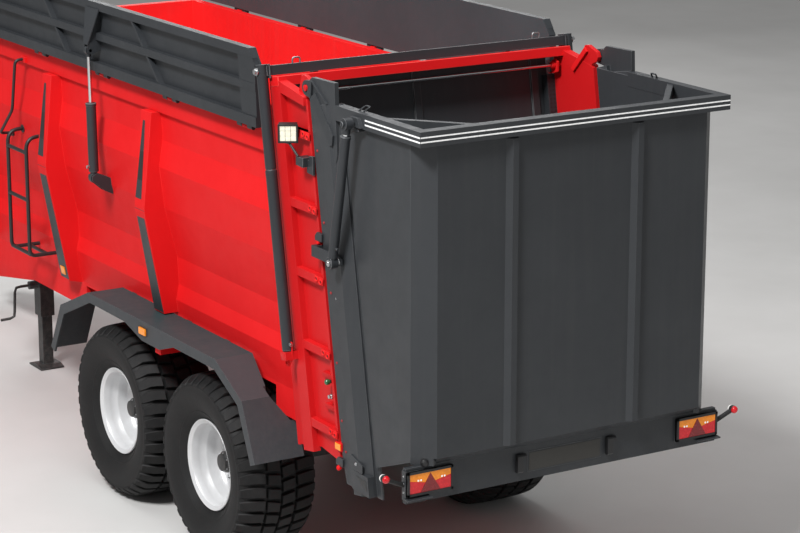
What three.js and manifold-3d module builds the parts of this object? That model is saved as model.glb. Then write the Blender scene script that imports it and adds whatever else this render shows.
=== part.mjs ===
// Tandem-axle manure spreader: tapered load body with folding side extensions, lifting rear gate,
// inclined spreading frame with two upright beaters, and a top-hinged rear hood.
// Millimetres. +X forwards, +Y to the machine's left, +Z up, z = 0 is the ground.
import * as THREE from "three";
import { mergeVertices } from "three/addons/utils/BufferGeometryUtils.js";
import Module from "manifold-3d";

const wasm = await Module();
wasm.setup();

// ---------------------------------------------------------------- driving dimensions
const ORIGIN_X = 1978; // the part's origin, measured forwards from the rear axle
const WHEELBASE = 1346; // spacing of the two axles
const TRACK_HALF = 939; // tyre centre plane
const TYRE_R = 600; // outer radius, loaded
const TYRE_HALF_W = 275;
const RIM_R = 300; // flange radius of a 22.5 inch rim
const LEAN = (9.76 * Math.PI) / 180; // the spreading frame leans forwards at the top
const HINGE_X = -1165; // rear hood hinge
const HINGE_Z = 3238;
const BODY_REAR_A = 590; // rear end of the load body, measured along the leaned frame
const BODY_FRONT = 4320; // inner face of the front wall
const RAIL_TOP = 2897;
const FLOOR_TOP = 1270; // load floor, just above the tyres
const FLOOR_LOW = 1225;
const SKIRT_LOW = 1057; // lower edge of the side members before and behind the wheels
const EXT_HINGE_Y = 1072;
const EXT_HINGE_Z = 2893;
const EXT_TOP = 3385;
const HOOD_REAR = -2396;
const RIM_REAR = -2436;

// ---------------------------------------------------------------- helpers
function toSolid(geometry) {
  const g = geometry.index ? geometry.toNonIndexed() : geometry.clone();
  g.deleteAttribute("normal");
  g.deleteAttribute("uv");
  const m = mergeVertices(g, 1e-4);
  return new wasm.Manifold(
    new wasm.Mesh({
      numProp: 3,
      vertProperties: new Float32Array(m.attributes.position.array),
      triVerts: new Uint32Array(m.index.array),
    }),
  );
}
function toGeometry(solid) {
  const m = solid.getMesh();
  const v = new Float32Array(m.numVert * 3);
  for (let i = 0; i < m.numVert; i++)
    v.set(m.vertProperties.subarray(i * m.numProp, i * m.numProp + 3), i * 3);
  const g = new THREE.BufferGeometry();
  g.setAttribute("position", new THREE.BufferAttribute(v, 3));
  g.setIndex(new THREE.BufferAttribute(new Uint32Array(m.triVerts), 1));
  const flat = g.toNonIndexed();
  flat.computeVertexNormals();
  return flat;
}
const join = (...s) => s.flat().reduce((a, b) => a.add(b));
const cut = (a, ...s) => s.flat().reduce((x, y) => x.subtract(y), a);

function box(x0, x1, y0, y1, z0, z1) {
  const g = new THREE.BoxGeometry(Math.abs(x1 - x0), Math.abs(y1 - y0), Math.abs(z1 - z0));
  g.translate((x0 + x1) / 2, (y0 + y1) / 2, (z0 + z1) / 2);
  return toSolid(g);
}
const shapeOf = (pts) => new THREE.Shape(pts.map((p) => new THREE.Vector2(p[0], p[1])));
// A plane outline pushed along a third direction: u and v span the outline, w is the push.
function prism(pts, d0, d1, u, v, w, o = [0, 0, 0]) {
  const g = new THREE.ExtrudeGeometry(shapeOf(pts), { depth: Math.abs(d1 - d0), bevelEnabled: false });
  g.translate(0, 0, Math.min(d0, d1));
  const U = new THREE.Vector3(...u), V = new THREE.Vector3(...v), W = new THREE.Vector3(...w);
  const M = new THREE.Matrix4().makeBasis(U, V, W);
  M.setPosition(...o);
  g.applyMatrix4(M);
  if (M.determinant() < 0) {
    const p = g.attributes.position.array;
    for (let i = 0; i < p.length; i += 9)
      for (let k = 0; k < 3; k++) [p[i + 3 + k], p[i + 6 + k]] = [p[i + 6 + k], p[i + 3 + k]];
  }
  return toSolid(g);
}
const prismXZ = (pts, y0, y1) => prism(pts, y0, y1, [1, 0, 0], [0, 0, 1], [0, 1, 0]);
const prismYZ = (pts, x0, x1) => prism(pts, x0, x1, [0, 1, 0], [0, 0, 1], [1, 0, 0]);
const prismXY = (pts, z0, z1) => prism(pts, z0, z1, [1, 0, 0], [0, 1, 0], [0, 0, 1]);

// The leaned frame: a runs forwards square to the lean, b runs up along it, both from the hood hinge.
const CF = Math.cos(LEAN), SF = Math.sin(LEAN);
const lp = (a, b) => [HINGE_X + a * CF + b * SF, HINGE_Z - a * SF + b * CF];
const bz = (a, z) => (z - HINGE_Z + a * SF) / CF; // b of the point at height z on line a
const E_FWD = [CF, 0, -SF], E_UP = [SF, 0, CF], O3 = [HINGE_X, 0, HINGE_Z];
const leanBox = (a0, a1, b0, b1, y0, y1) =>
  prismXZ([lp(a0, b0), lp(a1, b0), lp(a1, b1), lp(a0, b1)], y0, y1);
const leanYB = (pts, a0, a1) => prism(pts, a0, a1, [0, 1, 0], E_UP, E_FWD, O3);

function rod(p, q, r, n = 12) {
  const P = new THREE.Vector3(...p), Q = new THREE.Vector3(...q);
  const d = Q.clone().sub(P);
  const g = new THREE.CylinderGeometry(r, r, d.length(), n, 1);
  g.applyQuaternion(new THREE.Quaternion().setFromUnitVectors(new THREE.Vector3(0, 1, 0), d.clone().normalize()));
  g.translate((P.x + Q.x) / 2, (P.y + Q.y) / 2, (P.z + Q.z) / 2);
  return toSolid(g);
}
// A bent bar: straight runs with rounded corners, a round section swept along them.
class BentBar extends THREE.CurvePath {
  constructor(points, bend) {
    super();
    const P = points.map((p) => new THREE.Vector3(...p));
    let from = P[0];
    for (let i = 1; i < P.length - 1; i++) {
      const l = Array.isArray(bend) ? bend[i - 1] : bend;
      const a = P[i].clone().add(P[i - 1].clone().sub(P[i]).setLength(l));
      const b = P[i].clone().add(P[i + 1].clone().sub(P[i]).setLength(l));
      this.add(new THREE.LineCurve3(from, a));
      this.add(new THREE.QuadraticBezierCurve3(a, P[i], b));
      from = b;
    }
    this.add(new THREE.LineCurve3(from, P[P.length - 1]));
  }
}
function bar(points, r, bend = 60, sides = 8, steps = 24) {
  const s = new THREE.Shape();
  for (let i = 0; i < sides; i++) {
    const t = (i / sides) * 2 * Math.PI;
    i ? s.lineTo(r * Math.cos(t), r * Math.sin(t)) : s.moveTo(r, 0);
  }
  s.closePath();
  return toSolid(new THREE.ExtrudeGeometry(s, { steps, bevelEnabled: false, extrudePath: new BentBar(points, bend) }));
}
// A turned profile of [radius, position along +Y].
function turned(profile, n, at) {
  const g = new THREE.LatheGeometry(profile.map((p) => new THREE.Vector2(p[0], p[1])), n);
  g.translate(...at);
  const s = toSolid(g);
  return s.volume() > 0 ? s : turned([...profile].reverse(), n, at);
}

const RED = { color: 0xd81f22, roughness: 0.38, metalness: 0.1 };
const GREY = { color: 0x3b3f43, roughness: 0.5, metalness: 0.15 };
const BLACK = { color: 0x17181a, roughness: 0.6, metalness: 0.1 };
const SILVER = { color: 0xc9ccce, roughness: 0.4, metalness: 0.35 };
const RUBBER = { color: 0x161616, roughness: 0.9, metalness: 0 };
const STEEL = { color: 0x8c8f92, roughness: 0.35, metalness: 0.9 };
const CHROME = { color: 0xdcdfe2, roughness: 0.12, metalness: 1 };

const root = new THREE.Group();
root.position.x = -ORIGIN_X;
function put(name, solid, look) {
  const m = new THREE.Mesh(toGeometry(solid), new THREE.MeshStandardMaterial(look));
  m.name = name;
  root.add(m);
  return m;
}
// The same piece on the left side and, mirrored, on the right.
function pair(name, solid, look) {
  put(name + "_left", solid, look);
  put(name + "_right", solid, look).scale.y = -1;
}

// ---------------------------------------------------------------- load body
const REAR_CUT = prismXZ([lp(BODY_REAR_A, -2700), lp(BODY_REAR_A, 400), [-3000, 3700], [-3000, 300]], -1500, 1500);
const wallSection = [
  [1045, RAIL_TOP], [1045, 2765], [1018, 2760], [1014, 2573], [1044, 2396], [1010, 2115], [925, 1775],
  [918, 1585], [940, 1480], [925, 1370], [905, 1250], [905, FLOOR_LOW], [862, FLOOR_LOW], [862, 1500],
  [872, 1750], [962, 2150], [985, 2600], [985, RAIL_TOP],
];
const ribSection = (low) => [
  [1000, 2762], [1092, 2762], [1160, 2130], [1158, 2090], [low > 1300 ? 1032 : 1004, low], [low > 1300 ? 900 : 890, low - (low > 1300 ? 0 : 30)],
  [890, 1700], [975, 2150],
];
const hingeX = [-437, 584, 1611, 2630, 3650];
let wall = prismYZ(wallSection, -1100, BODY_FRONT + 60);
for (const [x, low] of [[840, 1394], [2430, 1262], [4020, 1262]]) wall = wall.add(prismYZ(ribSection(low), x, x + 145));
// side members below the floor, before and behind the wheels
wall = wall.add(box(2360, BODY_FRONT + 60, 875, 905, SKIRT_LOW, 1245)).add(box(-1100, -470, 875, 905, SKIRT_LOW, 1245));
for (const c of hingeX)
  wall = wall.add(
    join(
      prismYZ([[1035, 2879], [1035, 2895], [1072, 2907], [1086, 2893], [1072, 2879]], c - 30, c + 30),
      rod([c - 30, EXT_HINGE_Y, EXT_HINGE_Z], [c + 30, EXT_HINGE_Y, EXT_HINGE_Z], 14, 8),
    ),
  );
// lower bracket of the side-extension cylinder: two cheeks on the wall
for (const x of [1655, 1713])
  wall = wall.add(prismYZ([[1000, 2050], [1060, 2080], [1152, 2160], [1152, 2192], [1110, 2208], [1000, 2160]], x, x + 12));
wall = cut(wall, REAR_CUT);
pair("side_wall", wall, RED);

put("front_wall", prismYZ(
  [[984.7, RAIL_TOP], [984.7, 2600], [961.7, 2150], [871.7, 1750], [861.7, 1500], [861.7, FLOOR_LOW],
    [-861.7, FLOOR_LOW], [-861.7, 1500], [-871.7, 1750], [-961.7, 2150], [-984.7, 2600], [-984.7, RAIL_TOP]],
  BODY_FRONT, BODY_FRONT + 60), RED);

put("load_floor", cut(box(-1100, BODY_FRONT - 0.3, -861.7, 861.7, FLOOR_LOW, FLOOR_TOP), REAR_CUT), RED);

// scraper floor: four chains carrying cross slats, lying on the floor
{
  const z0 = FLOOR_TOP + 0.3, z1 = FLOOR_TOP + 20;
  let s = box(-860, 4290, -700, -668, z0, z1);
  for (const y of [-200, 168, 668]) s = s.add(box(-860, 4290, y, y + 32, z0, z1));
  for (let i = 0; i < 7; i++) s = s.add(box(-760 + i * 800, -715 + i * 800, -830, 830, z0 + 4, z1 + 8));
  put("floor_scraper", s, STEEL);
}
// ---------------------------------------------------------------- chassis and running gear
{
  let s = join(box(-940, 4380, 380, 500, 860, 1224.7), box(-940, 4380, -500, -380, 860, 1224.7));
  for (const x of [-940, -150, 600, 1440, 2380, 3320, 4260]) s = s.add(box(x, x + 120, -390, 390, 905, 1060));
  for (const y of [-485, 395]) s = s.add(box(570, 776, y, y + 90, 740.3, 880)); // spring pivots
  for (const [x, w] of [[-895, 40], [2500, 60], [4300, 60]]) // bearers out to the side members
    for (const y of [-874.7, 490]) s = s.add(box(x, x + w, y, y + 384.7, 1120, 1200));
  put("chassis_frame", s, RED);
}
put("drawbar", join(
  prismXZ([[3300, 640], [3300, 904.7], [4560, 904.7], [6150, 590], [6150, 400], [5950, 390], [4500, 640]], -110, 110),
  box(6150, 6180, -110, 110, 385, 605),
  box(5860, 5884, -60, 60, 600, 757),
), RED);
{
  const ring = turned([[28, -26], [82, -26], [82, 26], [28, 26], [28, -26]], 16, [0, 0, 0]);
  const g = toGeometry(ring);
  g.rotateX(Math.PI / 2);
  g.translate(6310, 0, 500);
  let s = toSolid(g).add(cut(box(6195, 6285, -45, 45, 470, 530), rod([6310, 0, 440], [6310, 0, 560], 60, 20)));
  s = s.add(box(6180.3, 6205, -100, 100, 400, 590));
  put("hitch_eye", s, BLACK);
}
// parking jack on a side bracket of the drawbar
const JX = 4470, JY = 330;
put("jack_housing", join(
  cut(
    join(box(JX - 60, JX + 60, JY - 60, JY + 60, 430, 1150), box(JX - 75, JX + 75, 110.3, JY - 55, 700, 880)),
    box(JX - 48, JX + 48, JY - 48, JY + 48, 400, 1130),
  ),
  rod([JX, JY + 58, 690], [JX, JY + 130, 690], 34, 12),
  bar([[JX, JY + 120, 690], [JX, JY + 250, 690], [JX, JY + 262, 440], [JX, JY + 380, 436]], 12, 30, 6, 12),
), BLACK);
put("jack_leg", join(
  box(JX - 44, JX + 44, JY - 44, JY + 44, 20, 700),
  prismXZ([[JX - 120, 0], [JX + 120, 0], [JX + 120, 12], [JX + 60, 30], [JX - 60, 30], [JX - 120, 12]], JY - 100, JY + 100),
), BLACK);

for (const [n, x] of [["front", WHEELBASE], ["rear", 0]]) {
  put("axle_" + n, join(box(x - 60, x + 60, -760, 760, 540, 660), rod([x, -905, 600], [x, 905, 600], 48, 14)), BLACK);
  const T = [[276, -186], [304, -198], [392, -258], [490, -275], [572, -250], [600, -196], [600, 196], [572, 250],
    [490, 275], [392, 258], [304, 198], [276, 186], [276, -186]];
  const R = [[52, -165], [205, -165], [205, -30], [262, -30], [262, -190], [300, -212], [300, -203],
    [275, -189], [275, 189], [300, 203], [300, 212], [262, 190], [262, -10], [80, -6], [70, 126], [0, 126], [0, -24],
    [52, -24], [52, -165]];
  for (const [side, s] of [["left", 1], ["right", -1]]) {
    const tyre = put(`tyre_${n}_${side}`, turned(T, 20, [0, 0, 0]), RUBBER);
    const rim = put(`rim_${n}_${side}`, turned(R, 20, [0, 0, 0]), SILVER);
    for (const m of [tyre, rim]) {
      m.position.set(x, s * TRACK_HALF, 600);
      m.scale.y = s;
    }
  }
}
pair("spring_pack", prismXZ(
  [[-140, 660.3], [100, 660.3], [380, 650], [966, 650], [1246, 660.3], [1486, 660.3], [1486, 690], [966, 740], [380, 740], [-140, 690]],
  395, 485), BLACK);

// mudguards over both wheels of a side
{
  const top = [[2300, 838], [2112, 1188], [1640, 1385], [-252, 1385], [-600, 1203], [-765, 835]];
  const inner = [[2278, 829], [2095, 1171], [1636, 1363], [-246, 1363], [-582, 1188], [-744, 829]];
  const skirt = [[2246, 810], [2062, 1132], [1620, 1318], [1060, 1316], [800, 1248], [540, 1248], [330, 1316], [-236, 1316],
    [-545, 1160], [-705, 812]];
  let s = join(
    prismXZ([...top, ...[...inner].reverse()], 955, 1222),
    prismXZ([...top, ...[...skirt].reverse()], 1206, 1222),
  );
  // the sheet narrows towards its rear fold, and the flap below the fold widens again towards the frame
  s = s.add(prismXZ([[-600, 1203], [-765, 835], [-744, 829], [-582, 1188]], 872, 1100));
  s = s.subtract(prism([[-256, 800], [-256, 955], [-600, 1026], [-600, 800]], 1150, 1400, [1, 0, 0], [0, 1, 0], [0, 0, 1]));
  s = s.subtract(prism([[800, -70], [1026, -70], [1026, 0], [914, 172], [800, 172]], -60, 60, [0, 1, 0], [-0.4091, 0, -0.9125], [-0.9125, 0, 0.4091], [-600, 0, 1203]));
  for (const x of [100, 640, 1480]) s = s.add(box(x, x + 60, 927, 960, 1352, 1372));
  pair("mudguard", s, GREY);
}

// ---------------------------------------------------------------- folding side extensions
{
  const x0 = 4290, zb = 2912;
  const end = [[-532, EXT_TOP], [-604, 3290], [-628, zb]];
  const panel = prismXZ([[x0, zb], [x0, EXT_TOP], ...end], 1048, 1060);
  const rail = (z0, z1, y1) => {
    const xe = (z) => (z > 3290 ? -532 - ((EXT_TOP - z) * 72) / 95 : -604 - ((3290 - z) * 24) / 378);
    return prismXZ([[x0, z0], [x0, z1], [xe(z1), z1], [xe(z0), z0]], 1055, y1);
  };
  let s = join(panel, rail(3330, EXT_TOP, 1100), rail(3130, 3178, 1100), rail(zb, 2975, 1106));
  s = s.add(prismXZ([[-440, zb + 5], [-380, EXT_TOP - 5], ...end.map((p, i) => (i ? p : [-532, EXT_TOP - 0.5]))], 1050, 1098));
  s = s.add(box(x0 - 90, x0, 1050, 1098, zb + 3, EXT_TOP - 3));
  for (const x of [2330, 880])
    s = s.add(prismXZ([[x + 215, 3340], [x + 245, 3340], [x - 165, 2960], [x - 195, 2960]], 1055, 1096));
  s = s.subtract(box(1660, 1720, 1060.5, 1120, 3100, 3200));
  // gusset of the cylinder: two cheeks
  for (const x of [1657, 1713])
    s = s.add(prismYZ([[1055, 3340], [1098, 3340], [1158, 3075], [1158, 3040], [1122, 3032], [1055, 3060]], x, x + 10));
  s = s.add(prism([[1585, 0], [1795, 0], [1723, 250], [1657, 250]], 0, 8, [1, 0, 0], [0, 0.2218, -0.9751], [0, 0.9751, 0.2218], [0, 1097.5, 3340]));
  for (const c of hingeX)
    for (const d of [36, -96])
      s = s.add(join(
        rod([c + d, EXT_HINGE_Y, EXT_HINGE_Z], [c + d + 60, EXT_HINGE_Y, EXT_HINGE_Z], 14, 8),
        prismYZ([[1060, 2893], [1060, 2920], [1086, 2920], [1086, 2893]], c + d, c + d + 60),
      ));
  pair("side_extension", s, GREY);
}
// cylinders that fold the extensions
{
  const X = 1690, L = [X, 1125, 2174], U = [X, 1138, 3057];
  const dy = (U[1] - L[1]) / 883.1, dz = (U[2] - L[2]) / 883.1;
  const at = (t) => [X, L[1] + dy * t, L[2] + dz * t];
  pair("extension_cylinder", join(
    cut(rod(at(42), at(520), 34, 14), rod(at(60), at(540), 16, 12)),
    rod([X - 18, L[1], L[2]], [X + 18, L[1], L[2]], 36, 14), rod(at(10), at(50), 17, 10),
  ), GREY);
  pair("extension_piston_rod", join(
    rod(at(320), at(862), 13, 12),
    rod([X - 16, U[1], U[2]], [X + 16, U[1], U[2]], 30, 12),
  ), CHROME);
}

// ---------------------------------------------------------------- spreading frame
{
  const [tx, tz] = lp(334.7, 47);
  const panel = [lp(574, -110), lp(445, -70), lp(445, 13.7), lp(335, 13.7), [tx, tz], [-1092, 3184], [-1140, 3172],
    lp(20, -70), lp(20, bz(20, 1017)), [-1243, 1056], [-1035, 1008], lp(574, -2170)];
  let s = prismXZ(panel, 1000, 1020);
  s = s.add(leanBox(325, 445, bz(385, 1012), 13.7, 1010, 1060));
  s = s.add(prismXZ([lp(334.7, -20), [tx, tz], [-1092, 3184], [-1128, 3174], [-1132, 3124]], 1003, 1060));
  s = s.add(leanBox(20, 44, bz(30, 1030), -70, 1010, 1048));
  for (const [z, h, a] of [[2976, 50, 240], [2545, 52, 330], [2133, 52, 330], [1698, 52, 330], [1230, 52, 330]]) {
    const p = (l, zz) => [lp(l, bz(l, zz))[0], zz];
    s = s.add(prismXZ([p(22, z - h), p(22, z), p(a, z), p(a, z - h)], 1010, 1058));
  }
  for (const z of [1551, 1363]) {
    const p = (a, zz) => [lp(a, bz(a, zz))[0], zz];
    s = s.add(prismXZ([p(22, z - 28), p(22, z), p(150, z), p(150, z - 28)], 1010, 1046));
  }
  // hood hinge bracket with its pin
  s = s.add(prismXZ([[-1010, 3150], [-1060, 3296], [-1092, 3300], [-1186, 3268], [-1200, 3238], [-1190, 3212],
    [-1140, 3188], [-1120, 3120]], 1002, 1030));
  s = s.add(rod([HINGE_X, 1004, HINGE_Z], [HINGE_X, 1070, HINGE_Z], 19, 12));
  // lower bracket of the gate cylinder
  s = s.add(leanBox(405, 470, -1630, -1580, 1050, 1146));
  // bracket that carries the hood cylinder's lower pin, outside the hood
  s = s.add(join(
    prismXZ([[-1266, 2254], [-1266, 2322], [-1310, 2322], [-1320, 2254]], 1015, 1092),
    prismXZ([[-1268, 2254], [-1268, 2322], [-1560, 2320], [-1612, 2306], [-1612, 2268], [-1560, 2252]], 1080, 1092),
    rod([-1582, 1080, 2287], [-1582, 1158, 2287], 19, 12),
  ));
  // gate guide strip on the inner face
  s = s.add(leanBox(452, 508, -1940, -95, 942, 1004));
  // frame plate that closes the tapered load body to the square spreading frame
  const B = (z) => bz(575, z);
  s = s.add(leanYB(
    [[864, B(FLOOR_LOW)], [864, B(1500)], [874, B(1750)], [964, B(2150)], [987, B(2600)], [987, -100], [1020, -100],
      [1020, -2180], [864, -2180]], 562, BODY_REAR_A - 0.3));
  pair("spreader_side", s, RED);
}
put("spreader_top_beam", leanBox(335, 445, 14, 74, -1060, 1060), RED);
put("spreader_floor", leanBox(-430, 552, -1978, -1948, -999.7, 999.7), RED);
put("beater_gearbox", join(
  leanBox(-60, 140, -2160, -1978.3, -640, 640),
  leanBox(130, 300, -2140, -2010, -110, 110),
), GREY);
put("driveline_guard", join(
  rod([-880, 0, 1130], [4420, 0, 1130], 42, 12), rod([4400, 0, 1130], [5930, 0, 800], 42, 12), box(4384, 4430, -70, 70, 1070, 1190),
), BLACK);

// lifting gate with its hangers
{
  let s = leanBox(516, 556, -1900, 60, -985, 985);
  for (const y of [-700, 700]) {
    s = s.add(prismXZ([lp(470.3, 85), lp(470.3, 135), lp(556, 135), lp(556, 20), lp(516, 20), lp(516, 85)], y - 20, y + 20));
  }
  for (const y of [-905, -25, 855]) s = s.add(leanBox(503, 520, -1890, 50, y, y + 50));
  put("gate_panel", s, GREY);
}
{
  const A = 440, head = lp(A, 110);
  const p = (b, y) => { const q = lp(A, b); return [q[0], y, q[1]]; };
  const parts = [leanBox(410, 470, 80, 140, -1090, 1090)];
  for (const y of [1108, -1108])
    parts.push(rod(p(-1440, y), p(-470, y), 23, 12), rod(p(-478, y), p(150, y), 34, 14),
      rod([head[0], y, head[1]], [head[0], Math.sign(y) * 1162, head[1]], 17, 12));
  put("gate_crossbar", join(parts), GREY);
  pair("gate_cylinder", cut(rod(p(-1579.7, 1108), p(-480, 1108), 35, 14), rod(p(-1540, 1108), p(-440, 1108), 25, 12)), GREY);
}

// upright beaters
{
  const A = 40, Y = 492;
  class Helix extends THREE.Curve {
    constructor(r, b0, b1, turns, phase) { super(); Object.assign(this, { r, b0, b1, turns, phase }); }
    ang(t) { return this.phase + this.turns * 2 * Math.PI * t; }
    getPoint(t) {
      const w = this.ang(t);
      return new THREE.Vector3(this.r * Math.cos(w), this.r * Math.sin(w), this.b0 + (this.b1 - this.b0) * t);
    }
    computeFrenetFrames(n) {
      const tangents = [], normals = [], binormals = [];
      for (let i = 0; i <= n; i++) {
        const w = this.ang(i / n);
        const T = new THREE.Vector3(-Math.sin(w) * this.r * this.turns * 2 * Math.PI, Math.cos(w) * this.r * this.turns * 2 * Math.PI, this.b1 - this.b0).normalize();
        const N = new THREE.Vector3(Math.cos(w), Math.sin(w), 0);
        tangents.push(T); normals.push(N); binormals.push(new THREE.Vector3().crossVectors(T, N));
      }
      return { tangents, normals, binormals };
    }
  }
  const upright = (parts) => {
    const g = toGeometry(parts);
    const M = new THREE.Matrix4().makeBasis(new THREE.Vector3(...E_FWD), new THREE.Vector3(0, 1, 0), new THREE.Vector3(...E_UP));
    const q = lp(A, 0);
    M.setPosition(q[0], Y, q[1]);
    g.applyMatrix4(M);
    return toSolid(g);
  };
  const B0 = -1926, B1 = -440;
  const flight = (ph) => {
    const f = shapeOf([[-140, -7], [140, -7], [140, 7], [-140, 7]]);
    return toSolid(new THREE.ExtrudeGeometry(f, { steps: 14, bevelEnabled: false, extrudePath: new Helix(220, B0 + 60, B1 - 60, 2, ph) }));
  };
  let s = join(rod([0, 0, B0], [0, 0, B1], 95, 14), flight(0), flight(Math.PI), rod([0, 0, B0], [0, 0, B0 + 14], 430, 24));
  s = s.add(rod([0, 0, B0 - 14], [0, 0, B0 + 1], 130, 14));
  pair("beater", upright(s), GREY);
}

// ---------------------------------------------------------------- rear hood
{
  const plan = [[-2287.3, 1038], [HOOD_REAR, 929], [HOOD_REAR, -929], [-2287.3, -1038], [-2287.3, -1006], [-2364, -915], [-2364, 915], [-2287.3, 1006]];
  let s = prismXY(plan, 1294, 3108);
  s = s.add(prismXZ([[HOOD_REAR, 1330], [HOOD_REAR, 1294], [-2344, 1250], [-2312, 1250], [-2364, 1300], [-2364, 1330]], -925, 925));
  for (const y of [-471, 395]) s = s.add(prismXY([[-2420, y + 14], [-2420, y + 52], [-2390, y + 92], [-2390, y]], 1296, 3090));
  // the corner sheets reach down to the light bar
  for (const k of [1, -1]) s = s.add(prismXY([[-2287.3, k * 1038], [-2382, k * 943.3], [-2364, k * 915], [-2287.3, k * 1006]], 1250, 1300));
  const z0 = 3105, z1 = 3192, x = -1512.3;
  const rim = [[x, 1068], [RIM_REAR, 1068], [RIM_REAR, -1068], [x, -1068], [x, -1004], [-2366, -1004], [-2366, 1004], [x, 1004]];
  s = s.add(prismXY(rim, z0, z1));
  for (const k of [1, -1])
    s = s.add(prismXY([[-1960, k * 1010], [-2370, k * 665], [-2370, k * 618], [-1904, k * 1010]], z0 + 30, z0 + 78));
  for (const k of [1, -1])
    s = s.add(join(
      prismXZ([[-1690, 3112], [-1830, 3112], [-1800, 3166], [-1716, 3166]], Math.min(k * 1060, k * 1092), Math.max(k * 1060, k * 1092)),
    ));
  put("hood_rear_wall", s, GREY);
}
{
  // side of the hood: front flange, recessed strip, post and side sheet; the hinge ear stands outside the frame's bracket
  const lineX = (a, z) => lp(a, bz(a, z))[0];
  const P = (a, z) => [lineX(a, z), z];
  const sheet = prismXZ([P(-375, 3104.7), [-2287, 3104.7], [-2287, 1261], P(-375, 1118)], 1006, 1038);
  const strip = prismXZ([P(-8, 3170), P(-8, 1060), P(-30, 930), P(-385, 930), P(-385, 3104.7), [-1512, 3104.7], [-1512, 3170]], 1006, 1020);
  const flange = prismXZ([P(-8, 3170), P(-8, 1060), P(-30, 930), P(-110, 930), P(-110, 3200)], 1008, 1048);
  const post = prism([[-145, 1008], [-150, 1074], [-240, 1074], [-333, 1034], [-333, 1008]], bz(-240, 920), bz(-240, 3180), E_FWD, [0, 1, 0], E_UP, O3);
  const head = prismXZ([[-1222, 3160], [-1214, 3294], [-1240, 3312], [-1500, 3318], [-1512, 3100], P(-300, 2900), P(-200, 2700)], 1036, 1064);
  const ear = cut(join(
    rod([HINGE_X, 1036, HINGE_Z], [HINGE_X, 1062, HINGE_Z], 46, 20),
    prismXZ([[-1165, 3192], [-1260, 3180], [-1260, 3292], [-1165, 3284]], 1036, 1062),
  ), rod([HINGE_X, 900, HINGE_Z], [HINGE_X, 1200, HINGE_Z], 22, 20));
  // pin bracket of the cylinder
  const lug = prismXZ([[-1700, 3104.7], [-1790, 3104.7], [-1800, 3090], [-1700, 3060]], 1030, 1080);
  let s = cut(join(sheet, strip, flange, post, head), rod([HINGE_X, 900, HINGE_Z], [HINGE_X, 1200, HINGE_Z], 64, 20),
    box(-2600, -1511.9, 900, 1056, 3104.7, 3400));
  s = join(s, ear, lug);
  pair("hood_side", s, GREY);
}
put("light_bar", join(
  box(-2344, -2312, -1102, 1102, 1040, 1249.7),
  box(-2358, -2340, 798, 1103, 1085, 1230), box(-2358, -2340, -1103, -798, 1085, 1230),
), GREY);
// cylinders that lift the hood
{
  const Y = 1132, L = [-1582, Y, 2287], U = [-1758, Y, 3132];
  const n = Math.hypot(U[0] - L[0], U[2] - L[2]);
  const at = (t) => [L[0] + ((U[0] - L[0]) * t) / n, Y, L[2] + ((U[2] - L[2]) * t) / n];
  pair("hood_cylinder", cut(join(
    cut(rod(at(30), at(790), 29, 14), rod(at(80), at(810), 20, 12)),
    rod([L[0], Y - 24, L[2]], [L[0], Y + 24, L[2]], 35, 14),
  ), rod([L[0], Y - 60, L[2]], [L[0], Y + 60, L[2]], 21, 14)), GREY);
  pair("hood_piston_rod", join(
    rod(at(120), at(n - 20), 18, 12),
    rod([U[0], Y - 24, U[2]], [U[0], Y + 24, U[2]], 34, 14),
  ), GREY);
}

// ---------------------------------------------------------------- fittings
{
  const y = 1150, r = 14, x0 = 2793, x1 = 3126;
  const stile = (x) => bar([[x, 1036, 2262], [x, y, 2262], [x, y, 1385], [x, 930, 1385]], r, [95, 50], 6, 14);
  let s = join(stile(x0), stile(x1));
  for (const z of [1396, 1800, 2150]) s = s.add(rod([x0, z < 1400 ? y - 8 : y, z], [x1, z < 1400 ? y - 8 : y, z], r, 8));
  s = s.add(rod([x0, 1015, 1385], [x1, 1015, 1385], r, 8));
  put("ladder", s, BLACK);
}

export default root;
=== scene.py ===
import math
import random
import bpy
import bmesh
from mathutils import Matrix, Vector


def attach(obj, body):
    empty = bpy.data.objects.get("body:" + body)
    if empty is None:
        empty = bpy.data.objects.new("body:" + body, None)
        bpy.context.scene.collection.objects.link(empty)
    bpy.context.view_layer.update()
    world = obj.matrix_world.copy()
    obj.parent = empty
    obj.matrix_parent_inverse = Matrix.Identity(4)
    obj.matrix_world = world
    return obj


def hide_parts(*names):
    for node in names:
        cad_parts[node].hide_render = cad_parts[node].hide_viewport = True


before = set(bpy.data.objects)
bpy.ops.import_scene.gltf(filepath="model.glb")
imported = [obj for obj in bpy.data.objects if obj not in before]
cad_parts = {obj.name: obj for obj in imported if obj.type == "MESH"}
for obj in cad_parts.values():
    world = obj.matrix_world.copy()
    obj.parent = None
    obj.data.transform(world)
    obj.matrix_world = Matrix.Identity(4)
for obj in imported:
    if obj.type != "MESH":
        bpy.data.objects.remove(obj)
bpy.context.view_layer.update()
random.seed(7)

# ------------------------------------------------------------------ frame of the machine
OX = 1978.0  # rear axle to the part's origin, mm
LEAN = math.radians(9.76)
CF, SF = math.cos(LEAN), math.sin(LEAN)
HX, HZ = -1165.0, 3238.0


def lp(a, b):
    return (HX + a * CF + b * SF, HZ - a * SF + b * CF)


def bz(a, z):
    return (z - HZ + a * SF) / CF


def W(p):
    return ((p[0] - OX) / 1000.0, p[1] / 1000.0, p[2] / 1000.0)


E_UP = Vector((SF, 0, CF))
E_FWD = Vector((CF, 0, -SF))
E_Y = Vector((0, 1, 0))
SIDES = (("left", 1), ("right", -1))


# ------------------------------------------------------------------ materials
def new_mat(name):
    m = bpy.data.materials.new(name)
    m.use_nodes = True
    nt = m.node_tree
    b = nt.nodes["Principled BSDF"]
    return m, nt, b


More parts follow.
